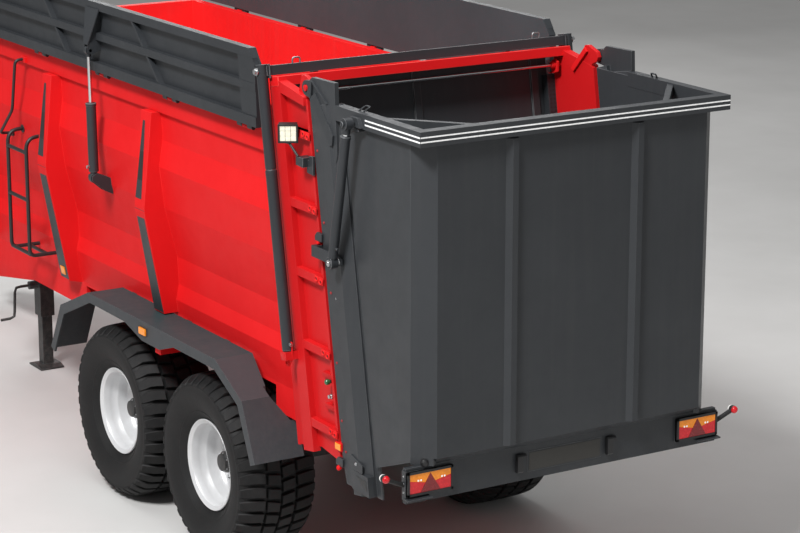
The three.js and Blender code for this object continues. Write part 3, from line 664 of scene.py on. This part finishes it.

# the inside of the box takes the lighter interior copy of the red paint: painted light
skin("front_wall", "frame", M_RED_IN_LIT, "red", 2.5)
skin("load_floor", "frame", M_RED_IN_LIT, "red", 1.5)
skin("floor_scraper", "frame", M_FLOOR_STEEL, "steel", 1.5)
skin("chassis_frame", "frame", M_RED, "red", 4.0)
skin("drawbar", "frame", M_RED, "red", 5.0)
skin("hitch_eye", "frame", M_BLACK, "black", 3.0)
skin("jack_leg", "jack_leg", M_BLACK, "black", 2.0)
skin("jack_housing", "frame", M_BLACK, "black", 2.0)
for nm in ("front", "rear"):
    skin("axle_" + nm, "frame", M_BLACK, "black", 4.0)
for s, k in SIDES:
    skin("spring_pack_" + s, "frame", M_BLACK, "black", 2.0)
    # upward faces of the mudguard take the tinted top copy: painted light
    skin("mudguard_" + s, "frame", M_GUARD, "grey", 3.0, segs=3, mats=[M_GUARD, M_GUARD_TOP_TINTED],
         pick=lambda c, n: 1 if n.z > 0.95 else 0)
    # inner faces of the extension take the lighter, bluer copy: painted light
    skin("side_extension_" + s, "side_extension_" + s, M_GREY, "grey", 2.0, mats=[M_GREY, M_GREY_IN_LIT], pick=lambda c, n, k=k: 1 if n.y * k < -0.5 else 0)

    def frame_pick(c, n, k=k):
        if -1.625 - 1.978 < c.x < -1.262 - 1.978 and 2.25 < c.z < 2.326 and c.y * k > 1.0135:
            return 2 if c.y * k > 1.0925 or (abs(n.y) < 0.2 and abs(c.x + 1.582 + 1.978) < 0.02 and abs(c.z - 2.287) < 0.02) else 1
        a = ((c.x + 1.978) * 1000 - HX) * CF - (c.z * 1000 - HZ) * SF
        return 1 if c.y * k < 0.9997 and 445 < a < 515 else 0
    # the spreading frame's sides take the darker copy of the red paint: painted shade
    skin("spreader_side_" + s, "frame", M_RED_FR_SHADE, "red", 2.0, mats=[M_RED_FR_SHADE, M_GREY, M_STEEL], pick=frame_pick)
    skin("hood_side_" + s, "hood", M_GREY_HOOD, "grey", 2.0)
skin("spreader_top_beam", "frame", M_RED, "red", 4.0)
# the spreader floor takes the lighter interior copy of the red paint: painted light
skin("spreader_floor", "frame", M_RED_IN_LIT, "red", 2.0)
skin("beater_gearbox", "frame", M_GREY, "grey", 8.0)
skin("gate_panel", "gate", M_GREY_HOOD, "grey", 2.0)
skin("hood_rear_wall", "hood", M_GREY_HOOD, "grey", 2.5)
skin("light_bar", "hood", M_GREY, "grey", 2.5)

# ------------------------------------------------------------------ ladder and driveline
g = G()
X0, X1 = 2793, 3126
for x in (X0, X1):
    path = [Vector((x, 1036, 2262))] + arc((x, 1036, 2262), (x, 1150, 2262), (x, 1150, 1385), 95, 10)
    path += arc((x, 1150, 2262), (x, 1150, 1385), (x, 930, 1385), 50, 8) + [Vector((x, 930, 1385))]
    g.tube(path, 14, 18)
for z in (1800, 2150):
    g.cyl((X0, 1150, z), (X1, 1150, z), 14, 18)
g.cyl((X0, 1142, 1396), (X1, 1142, 1396), 14, 18)
g.cyl((X0, 1015, 1385), (X1, 1015, 1385), 14, 18)
for z in (1800, 2150):
    for i in range(7):
        x = X0 + 40 + i * 40
        g.tube([(x, 1150, z + 12), (x + 18, 1150, z + 12)], 3.5, 8)
for x in (X0, X1):  # feet of the stiles on the wall
    g.cyl((x, 1024, 2262), (x, 1034, 2262), 30, 20)
make("ladder_bent_tube", g, "frame", M_BLACK, "black", ("ladder",), 1.5)

g = G()
g.tube([(-880, 0, 1130), (4420, 0, 1130)], 42, 28)
g.tube([(4400, 0, 1130), (5930, 0, 800)], 42, 28)
g.prism([(-70, 1070), (70, 1070), (70, 1190), (-70, 1190)], 4384, 4430, "YZ")
for x in (-600, 500, 1600, 2700, 3800):
    g.lathe([(42, -9), (48, -9), (48, 9), (42, 9)], (x, 0, 1130), (1, 0, 0), 28)
d = Vector((1530, 0, -330)).normalized()
for t in (60, 1350):
    p = Vector((4400, 0, 1130)) + d * t
    g.lathe([(40, 0), (64, 20), (70, 60), (66, 100), (50, 130), (40, 130)], p, d, 28)
make("driveline_guard_tube", g, "frame", M_BLKPL, "black", ("driveline_guard",), 1.5)

# ------------------------------------------------------------------ cylinders
for s, k in SIDES:
    # side extension cylinder
    X = 1690
    L, U = Vector((X, k * 1125, 2174)), Vector((X, k * 1138, 3057))
    d = (U - L).normalized()
    g = G()
    g.tube([L + d * 42, L + d * 46, L + d * 500, L + d * 520], 34, 28, 0, False, [30, 34, 34, 32])
    g.tube([L + d * 500, L + d * 506, L + d * 519, L + d * 521], 36, 28, 0, False, [36, 37, 37, 34])
    g.cyl(L - Vector((18, 0, 0)), L + Vector((18, 0, 0)), 36, 28)
    g.tube([L + d * 10, L + d * 50], 24, 16)
    g.cyl(L - Vector((34, 0, 0)), L + Vector((37, 0, 0)), 15, 18, 1)
    g.tube([L + d * 80 + Vector((0, k * 30, 0)), L + d * 80 + Vector((0, k * 52, 0))], 12, 6, 1)
    make("extension_cylinder_" + s + "_barrel", g, "extension_cylinder_" + s, [M_GREY, M_STEEL], "grey", ("extension_cylinder_" + s,), 1.5)
    g = G()
    g.cyl(L + d * 320, L + d * 850, 13, 24, 0)
    g.cyl(U - Vector((16, 0, 0)), U + Vector((16, 0, 0)), 30, 24, 1)
    g.tube([L + d * 838, L + d * 868], 18, 16, 1)
    g.cyl(U - Vector((33, 0, 0)), U + Vector((43, 0, 0)), 12, 18, 2)
    make("extension_piston_rod_" + s + "_ground", g, "extension_piston_rod_" + s, [M_CHROME, M_GREY, M_STEEL], "chrome", ("extension_piston_rod_" + s,), 1.2)

    # hood cylinder
    Y = k * 1132
    L, U = Vector((-1582, Y, 2287)), Vector((-1758, Y, 3132))
    d = (U - L).normalized()
    n = (U - L).length
    g = G()
    g.tube([L + d * 30, L + d * 38, L + d * 772, L + d * 790], 29, 28, 0, False, [25, 29, 29, 27])
    g.lathe([(18.5, 0), (31, 0), (31, 16), (27, 20), (18.5, 20)], L + d * 771, d, 28)
    g.lathe([(20, -24), (35, -24), (35, 24), (20, 24)], L, (0, 1, 0), 28)
    g.tube([L + d * 24, L + d * 50], 22, 16)
    g.tube([L + d * 95 + Vector((-22, 0, 0)), L + d * 95 + Vector((-42, 0, -4))], 9, 6, 0)
    g.cyl(L + Vector((0, k * 25, 0)), L + Vector((0, k * 31, 0)), 19, 20, 1)
    g.dome(L + Vector((0, k * 31, 0)), (0, k, 0), 12, 7, 16, 4, 1)
    make("hood_cylinder_" + s + "_barrel", g, "hood_cylinder_" + s, [M_GREY, M_STEEL], "grey", ("hood_cylinder_" + s,), 1.5)
    g = G()
    g.cyl(L + d * 120, L + d * (n - 20), 18, 24, 0)
    g.cyl(U - Vector((0, 24, 0)), U + Vector((0, 24, 0)), 34, 28, 1)
    g.tube([L + d * (n - 60), L + d * (n - 20)], 25, 20, 1)
    g.cyl(U - Vector((0, 58, 0) if k > 0 else (0, 34, 0)), U + Vector((0, 34, 0) if k > 0 else (0, 58, 0)), 15, 18, 1)
    g.dome(U + Vector((0, k * 34, 0)), (0, k, 0), 17, 8, 18, 4, 1)
    make("hood_piston_rod_" + s + "_ground", g, "hood_piston_rod_" + s, [M_CHROME, M_GREY, M_STEEL], "grey", ("hood_piston_rod_" + s,), 1.2)

    # gate cylinder
    A = 440

    def gp(b, y=k * 1108, a=A):
        q = lp(a, b)
        return Vector((q[0], y, q[1]))
    g = G()
    g.lathe([(25.5, -1540), (25.5, -480), (33, -480), (36, -486), (36, -512), (35, -514), (35, -1572), (31, -1579), (0.01, -1579), (0.01, -1540)],
            gp(0), tuple(E_UP), 28)
    g.tube([gp(-1530) + Vector((-30, 0, 0)), gp(-1532) + Vector((-52, 0, 0))], 11, 6, 1)
    make("gate_cylinder_" + s + "_barrel", g, "frame", [M_GREY, M_STEEL], "grey", ("gate_cylinder_" + s,), 1.2)

g = G()
g.lean(410, 470, 80, 140, -1090, 1090)
for y in (1108, -1108):
    sg = 1 if y > 0 else -1
    A = 440
    q0, q1, q2 = lp(A, -1440), lp(A, -470), lp(A, 150)
    g.cyl((q0[0], y, q0[1]), (q1[0], y, q1[1]), 23, 24, 1)
    g.tube([(lp(A, -478)[0], y, lp(A, -478)[1]), (lp(A, -470)[0], y, lp(A, -470)[1]), (q2[0], y, q2[1])], 34, 28, 0, False, [31, 34, 34])
    h = lp(A, 110)
    g.cyl((h[0], y, h[1]), (h[0], sg * 1162, h[1]), 17, 24, 2)
    g.cyl((h[0], sg * 1142, h[1]), (h[0], sg * 1150, h[1]), 24, 24, 2)
    g.lean(398, 482, 66, 150, sg * 1070, sg * 1078, 0)
# lifting loops on the crossbar
for y in (870, -870):
    q = lp(440, 140)
    g.tube(bent([(q[0], y - 26, q[1] - 4), (q[0], y - 26, q[1] + 34), (q[0], y + 26, q[1] + 34), (q[0], y + 26, q[1] - 4)], 16, 5), 5.5, 10, 2)
make("gate_crossbar_tube", g, "gate", [M_GREY, M_CHROME, M_STEEL], "grey", ("gate_crossbar",), 2.5)

# ------------------------------------------------------------------ beaters
for s, k in SIDES:
    g = G()
    A, Y = 40, k * 492
    O = lp(A, 0)

    def bp(r, ang, b):
        q = Vector((O[0], Y, O[1])) + E_FWD * (r * math.cos(ang)) + E_Y * (k * r * math.sin(ang)) + E_UP * b
        return q
    c0 = Vector((O[0], Y, O[1]))
    g.lathe([(0.01, -1940), (130, -1940), (130, -1926), (424, -1926), (430, -1922), (430, -1916), (424, -1912), (110, -1912), (95, -1900), (95, -446), (89, -440), (0.01, -440)],
            c0, tuple(E_UP), 48)
    for ph in (0.0, math.pi):
        steps = 72
        prev = None
        vs, fs = [], []
        for i in range(steps + 1):
            t = i / steps
            b = -1866 + t * (1866 - 500)
            w = ph + t * 4 * math.pi
            for (r, db) in ((88, -5), (358, -4), (358, 4), (88, 5)):
                vs.append(bp(r, w, b + db))
        for i in range(steps):
            for j in range(4):
                a, b2 = i * 4 + j, i * 4 + (j + 1) % 4
                fs.append((a, b2, b2 + 4, a + 4))
        fs.append((3, 2, 1, 0))
        fs.append(tuple(steps * 4 + j for j in range(4)))
        g.add(vs, fs, 0)
        for i in range(3, 72, 5):  # bolted knives at the rim of the flight
            t = i / steps
            b = -1866 + t * (1866 - 500)
            w = ph + t * 4 * math.pi
            u = (bp(1, w, 0) - bp(0, w, 0))
            tg = (bp(100, w + 0.3, 0) - bp(100, w, 0)).normalized()
            O2 = bp(300, w, b + 5)
            g.prism([(0, -22), (58, -22), (64, 0), (58, 22), (0, 22)], 0, 6, mat=1, basis=(u.normalized(), tg, E_UP), origin=O2)
            for dx in (14, 36):
                g.bolt(O2 + u.normalized() * dx + E_UP * 6, E_UP, 6, 5, 1)
    make("beater_" + s + "_flighted", g, "beater_" + s, [M_GREY, M_STEEL], "grey", ("beater_" + s,), 0, weighted=False, smooth=35)

# ------------------------------------------------------------------ hood fittings
g = G()
# two reflective strips round the rim
for z in (3160, 3134):
    for sg in (1, -1):
        g.box(-2434, -1849, sg * 1068.2, sg * 1069.6, z - 4.5, z + 4.5)
    g.box(-2437.8, -2436.2, -1066, 1066, z - 4.0, z + 4.0)
# their material glows faintly: painted glow
make("rim_reflective_strips", g, "hood", M_REFLECT_GLOW, "rim", (), 0.4)

g = G()
for sg in (1, -1):  # lifting loops on the rim, leaning inwards
    q = Vector((-1742, sg * 1036, 3188))
    t = Vector((-30, -sg * 34, 34))
    g.tube(bent([q + Vector((22, 0, 0)), q + Vector((22, 0, 0)) + t, q + Vector((-26, 0, 0)) + t, q + Vector((-26, 0, 0))], 10, 5), 5.0, 10, 0)


def plan(a, z):
    q = lp(a, bz(a, z))
    return (q[0], q[1])


for sg in (1, -1):
    for x, z in ((-1272, 2881), (-1342, 2464), (-1418, 2057), (-1483, 1646), (-1538, 1304), (-1583, 1124)):
        g.dome((x, sg * 1048, z), (0, sg, 0), 9, 6, 16, 4, 3)
    g.bolt((-1488, sg * 1048, 2039), (0, sg, 0), 8, 7, 2)
    # head of the post: a triangular frame stands on the plate
    g.prism([(-1232, 3190), (-1300, 3232), (-1500, 3012), (-1490, 2952), (-1462, 2948), (-1276, 3158)], sg * 1062, sg * 1078, "XZ", 0)
    g.prism([(-1246, 3296), (-1232, 3190), (-1250, 3196), (-1262, 3290)], sg * 1062, sg * 1080, "XZ", 0)
    g.prism([(-1262, 3292), (-1262, 3280), (-1418, 3178), (-1432, 3186)], sg * 1062, sg * 1076, "XZ", 0)
    # box foot of the post with its bolted plate
    g.prism([plan(-146, 1062), plan(-146, 944), plan(-336, 936), plan(-336, 1056)], sg * 1036, sg * 1080, "XZ", 0)
    g.prism([plan(-205, 1034), plan(-318, 1030), plan(-318, 968)], sg * 1080, sg * 1081.2, "XZ", 4)
    g.prism([(-1697, 1150), (-1823, 1112), (-1823, 1062), (-1697, 1062)], sg * 1073, sg * 1081, "XZ", 0)
    g.bolt((-1754, sg * 1081, 1104), (0, sg, 0), 8, 6, 2)
    # edge flanges along the post
    for a0, a1, y0, y1 in ((-117, -107, 1046, 1054),):
        g.prism([plan(a0, 3000), plan(a0, 1000), plan(a1, 1000), plan(a1, 3000)], sg * y0, sg * y1, "XZ", 0)
make("hood_bolts_and_loops", g, "hood", [M_GREY, M_RED, M_STEEL, M_DKREDP, M_BLKPL], "grey", (), 0.8)

# ------------------------------------------------------------------ lamps on the light bar
for s, k in SIDES:
    g = G()
    y0, y1, z0, z1 = 798, 1103, 1086, 1230
    X = -2345
    fw = 15
    g.prism([(k * y0, z0), (k * y1, z0), (k * y1, z1), (k * y0, z1)], X - 8, X + 20, "YZ", 0)
    for (a0, a1, c0, c1) in ((y0, y1, z0, z0 + fw), (y0, y1, z1 - fw, z1), (y0, y0 + fw, z0, z1), (y1 - fw, y1, z0, z1)):
        g.prism([(k * a0, c0), (k * a1, c0), (k * a1, c1), (k * a0, c1)], X - 22, X - 6, "YZ", 0)
    ym = (y0 + y1) / 2
    zi0, zi1, yi0, yi1 = z0 + fw, z1 - fw, y0 + fw, y1 - fw
    zm = zi0 + (zi1 - zi0) * 0.50
    up = 20
    # amber above, red below; the red rises towards both ends
    g.prism([(k * yi0, zm + up), (k * ym, zm - 8), (k * yi1, zm + up), (k * yi1, zi1), (k * yi0, zi1)], X - 18.0, X - 7, "YZ", 1)
    g.prism([(k * yi0, zm + up), (k * ym, zm - 8), (k * yi1, zm + up), (k * yi1, zi0), (k * yi0, zi0)], X - 18.6, X - 7, "YZ", 2)
    # filled triangular reflector behind the lens
    g.prism([(k * (ym - 66), zi0 + 2), (k * (ym + 66), zi0 + 2), (k * ym, zi1 - 5)], X - 20.5, X - 10, "YZ", 3)
    # bulbs behind the lens show as bright spots
    for yy in (ym - 96, ym - 78, ym + 62, ym + 80):
        g.dome((X - 18.2, k * yy, zm + 16), (-1, 0, 0), 6.5, 2.2, 14, 3, 4)
    make("tail_lamp_" + s, g, "hood", [M_BLKPL, M_ORANGE, M_REDLENS, M_DKRED, M_WHITELENS], "black", (), 1.6)

    # ledge and end plate below the lamp, rubber arm with the round marker lamp
    g = G()
    g.prism([(-2386, 1064), (-2330, 1070), (-2330, 1077), (-2386, 1071)], k * 950, k * 1116, "XZ", 0)
    g.box(-2350, -2310, k * 1104, k * 1109, 1062, 1236, 0)
    for zz in (1108, 1160, 1204):
        g.bolt((-2332, k * 1109, zz), (0, k, 0), 5, 5, 4)
    arm = [(-2322, k * 1104, 1150), (-2328, k * 1150, 1170), (-2336, k * 1200, 1196), (-2340, k * 1238, 1214)]
    g.tube(bent(arm, 18, 5), 14, 14, 1, False)
    g.lathe([(0.01, -14), (20, -14), (23, -8), (23, 8), (20, 14), (0.01, 14)], (-2340, k * 1240, 1216), (1, 0, 0), 24, 1)
    g.dome((-2354, k * 1240, 1216), (-1, 0, 0), 23, 22, 24, 6, 2)
    g.dome((-2326, k * 1240, 1216), (1, 0, 0), 23, 22, 24, 6, 3)
    make("marker_lamp_" + s, g, "hood", [M_GREY, M_RUBBER, M_REDLENS, M_WHITELENS, M_STEEL], "black", (), 0.8)

g = G()
# dark blank number plate in its recess, with a hooked black lamp at each end
g.box(-2347, -2342, -250, 275, 1086, 1210, 1)
g.box(-2349, -2346, -240, 265, 1094, 1202, 2)
for ya, yb in ((318, 358), (-322, -282)):
    g.prism([(-2372, 1104), (-2366, 1096), (-2344, 1096), (-2344, 1206), (-2362, 1206), (-2372, 1196)], ya, yb, "XZ", 0)
    g.prism([(-2372, 1180), (-2372, 1196), (-2362, 1206), (-2350, 1206), (-2350, 1188)], ya - 22, ya + 2, "XZ", 0)
    g.box(-2366, -2350, ya - 3, ya + 1, 1112, 1176, 3)
g.lathe([(0.01, 0), (20, 0), (24, 8), (24, 26), (16, 38), (0.01, 40)], (-2340, 979, 1252), (-0.3, 0, 1), 20, 0)
make("plate_lamps", g, "hood", [M_BLKPL, M_GREY, M_PLATE, M_WHITELENS, M_STEEL], "black", (), 1.5)

# ------------------------------------------------------------------ work light on the spreading frame
for s, k in (("left", 1),):
    g = G()
    C = Vector((-1040, 1115, 2955))
    u = Vector((0.52, 0.854, 0)).normalized()  # across the lamp
    nrm = Vector((-0.83, 0.51, -0.22)).normalized()
    v = nrm.cross(u).normalized()
    if v.z < 0:
        v = -v
    u = v.cross(nrm).normalized()
    g.prism([(-55, -55), (55, -55), (55, 55), (-55, 55)], -34, 8, mat=0, basis=(u, v, nrm), origin=C)
    for i in (-1, 0, 1):
        for j in (-1, 0, 1):
            a, b = i * 32.5, j * 32.5
            g.prism([(a - 15.4, b - 15.4), (a + 15.4, b - 15.4), (a + 15.4, b + 15.4), (a - 15.4, b + 15.4)], 6, 12, mat=1, basis=(u, v, nrm), origin=C)
    for a0, a1, b0, b1 in ((-58, 58, 49, 60), (-58, 58, -60, -49), (-60, -49, -58, 58), (49, 60, -58, 58)):
        g.prism([(a0, b0), (a1, b0), (a1, b1), (a0, b1)], 4, 16, mat=0, basis=(u, v, nrm), origin=C)
    for i in range(-3, 4):
        g.prism([(i * 15 - 2, -48), (i * 15 + 2, -48), (i * 15 + 2, 48), (i * 15 - 2, 48)], -48, -33, mat=0, basis=(u, v, nrm), origin=C)
    foot = C - v * 60 - nrm * 14
    g.tube([foot, foot + (Vector((-1118, 1090, 2822)) - foot) * 0.97], 8, 14, 2)
    g.cyl(foot + v * 4, foot - v * 10, 17, 18, 2)
    g.prism([(-1168, 2735), (-1240, 2728), (-1240, 2842), (-1196, 2838), (-1192, 2812), (-1168, 2810)], 1046, 1062, "XZ", 3)
    g.prism([(-1096, 2772), (-1096, 2822), (-1180, 2826), (-1180, 2768)], 1020, 1096, "XZ", 3)
    make("work_light", g, "frame", [M_BLKPL, M_LED, M_BLACK, M_GREY], "black", (), 1.5)

# ------------------------------------------------------------------ small fittings on the body and the spreading frame
for s, k in SIDES:
    g = G()
    MR, MG, MS, MB, MK = 0, 1, 2, 3, 4

    def up(a, z, y):
        q = lp(a, bz(a, z))
        return Vector((q[0], k * y, q[1]))
    # rib at the height of the work light
    pts = [(lp(a, bz(a, z))[0], z) for a, z in ((22, 2926), (22, 2976), (240, 2976), (240, 2926))]
    g.prism(pts, k * 1010, k * 1057, "XZ", MR)
    # rib ends: a folded lug with two eyes
    for z in (2951, 2519, 2107, 1672, 1204):
        c = up(40, z, 1059)
        e1, e2 = c + Vector((-6, 0, -4)), c + Vector((44, 0, 6))
        g.prism([(c.x - 26, z - 24), (c.x + 70, z - 12), (c.x + 70, z + 22), (c.x - 26, z + 20)], k * 1056, k * 1062, "XZ", MR)
        for q in (e1, e2):
            g.ring(q + Vector((0, k * 5, 0)), (0, 1, 0), 14, 5, 20, 8, MR)
            # a black disc fills each eye's hole: painted shade
            g.cyl(q + Vector((0, k * 2.5, 0)), q + Vector((0, k * 3.6, 0)), 9.5, 16, MK)
    # tabs with their knobs
    for (x, z, r) in ((-1300, 2368, 11), (-1530, 1046, 17)):
        g.prism([(x - 34, z - 22), (x - 34, z + 26), (x + 20, z + 30), (x + 44, z + 6), (x + 44, z - 22)], k * 1044, k * 1062, "XZ", MG)
        q = Vector((x + 4, k * 1064, z - 34))
        g.dome(q, (0, k, 0), r, r * 0.9, 20, 6, MR)
        g.cyl(q - Vector((0, k * 14, 0)), q, r * 0.7, 16, MR)
    # green cap and a coupler beside the panel's edge
    g.lathe([(0.01, 0), (15, 0), (17, 4), (17, 20), (13, 26), (0.01, 28)], (-1396, k * 1052, 1509), (0, k, 0), 20, 5)
    g.cyl((-1396, k * 1018, 1509), (-1396, k * 1054, 1509), 10, 14, MB)
    g.cyl((-1419, k * 1018, 1424), (-1419, k * 1050, 1424), 11, 16, MS)
    g.lathe([(0.01, 0), (16, 0), (16, 10), (12, 14), (12, 24), (0.01, 24)], (-1419, k * 1046, 1424), (0, k, 0), 20, MS)
    # side reflector near the foot
    g.box(-1540, -1480, k * 1058, k * 1064, 1120, 1158, 6)
    g.box(-1546, -1474, k * 1020, k * 1059, 1114, 1164, MR)
    # lug and ring under the gate cylinder
    g.prism([(-1040, 1560), (-1040, 1668), (-986, 1676), (-960, 1640), (-944, 1560), (-968, 1506), (-1000, 1510)], k * 1098, k * 1104, "XZ", MR)
    g.ring((-985, k * 1108, 1534), (0, 1, 0), 15, 5, 20, 8, MR)
    g.cyl((-1008, k * 1103, 1640), (-1008, k * 1105, 1640), 12, 18, MK)
    # brace behind the hinge bracket
    g.prism([(-1102, 3262), (-1078, 3286), (-938, 3136), (-962, 3116)], k * 984, k * 997, "XZ", MR)
    # guide of the gate: two rows of holes, drawn as black discs: painted shade in the holes
    for y in (958, 984):
        for i in range(32):
            b = -120 - i * 27
            q = lp(452, b)
            g.cyl((q[0] - E_FWD.x * 0.9, k * y, q[1] - E_FWD.z * 0.9), (q[0] + 0.4, k * y, q[1]), 6.0, 12, MK)
    # end fitting of the cross rod
    g.prism([(-826, 3096), (-826, 3160), (-800, 3172), (-762, 3160), (-752, 3110), (-776, 3078)], k * 958, k * 972, "XZ", MR)
    g.lathe([(0.01, 0), (24, 0), (24, 12), (18, 26), (0.01, 26)], (-790, k * 958, 3134), (0, -k, 0), 24, MR)
    g.cyl((-790, k * 970, 3134), (-790, k * 1000, 3134), 14, 18, MR)
    # arm that carries the mudguards between the wheels
    g.box(585, 665, k * 903, k * 1190, 1196, 1238, MR)
    # amber lamp on the mudguard
    g.box(718, 822, k * 1221, k * 1226, 1293, 1347, MB)
    g.box(724, 816, k * 1225, k * 1237, 1298, 1342, 6)
    make("fittings_" + s, g, "frame", [M_RED, M_GREY, M_STEEL, M_BLACK, M_BLKPL, M_GREEN, M_ORANGE], "red", (), 1.0)

g = G()
g.cyl((-790, -962, 3134), (-790, 962, 3134), 10, 20, 0)
g.cyl((-790, 560, 3134), (-790, 958, 3134), 14, 20, 0)
make("cross_rod", g, "frame", M_CHROME, "chrome", (), 0.8)

g = G()
path = bent([(3001, 1052, 2797), (3001, 1122, 2790), (3073, 1128, 2417), (3316, 1128, 2205), (3330, 1030, 2196)], 34, 7)
g.tube(path, 11, 16, 0)
g.box(2966, 3032, 1018, 1064, 2772, 2812, 1)
g.cyl((3330, 1018, 2196), (3330, 1034, 2196), 26, 20, 0)
make("hand_rail", g, "frame", [M_BLACK, M_RED], "black", (), 1.0)

# ------------------------------------------------------------------ floor, light
bpy.ops.mesh.primitive_plane_add(size=240, location=(0, 0, -0.002))
floor = bpy.context.object
floor.name = "studio_floor"
m, nt, b = new_mat("studio_floor")
co = coords(nt)
col = mix(nt, ramp(nt, noise(nt, 0.5, 4, 0.6, co), 0.3, 0.7), (0.56, 0.555, 0.545), (0.63, 0.625, 0.615))
nt.links.new(col, b.inputs["Base Color"])
b.inputs["Roughness"].default_value = 0.7
b.inputs["Specular IOR Level"].default_value = 0.15
floor.data.materials.append(m)

world = bpy.data.worlds.new("studio")
bpy.context.scene.world = world
world.use_nodes = True
bg = world.node_tree.nodes["Background"]
bg.inputs["Color"].default_value = (1.0, 1.0, 1.0, 1)
bg.inputs["Strength"].default_value = 0.24


def area(name, loc, target, size, power, size_y=None, color=(1, 1, 1)):
    L = bpy.data.lights.new(name, "AREA")
    L.energy = power
    L.color = color
    L.shape = "RECTANGLE"
    L.size = size
    L.size_y = size_y or size
    o = bpy.data.objects.new(name, L)
    o.location = loc
    o.rotation_mode = "QUATERNION"
    o.rotation_quaternion = (Vector(target) - Vector(loc)).to_track_quat("-Z", "Y")
    bpy.context.scene.collection.objects.link(o)
    return o


area("overhead", (0.0, 0.5, 9.5), (0, 0, 0), 9.0, 450, 7.0)
area("side_key", (-9.0, 13.0, 18.5), (-0.8, 0, 1.8), 5.0, 5700, 4.0)
area("rear_fill", (-12.0, 0.5, 4.5), (-4, 0, 1.8), 5.0, 50, 3.0)
area("far_rim", (15.0, -9.0, 6.5), (0.0, 0, 2.6), 9.0, 300, 3.5)

scene = bpy.context.scene
scene.view_settings.view_transform = "Standard"
scene.view_settings.look = "None"
scene.view_settings.exposure = 0.0
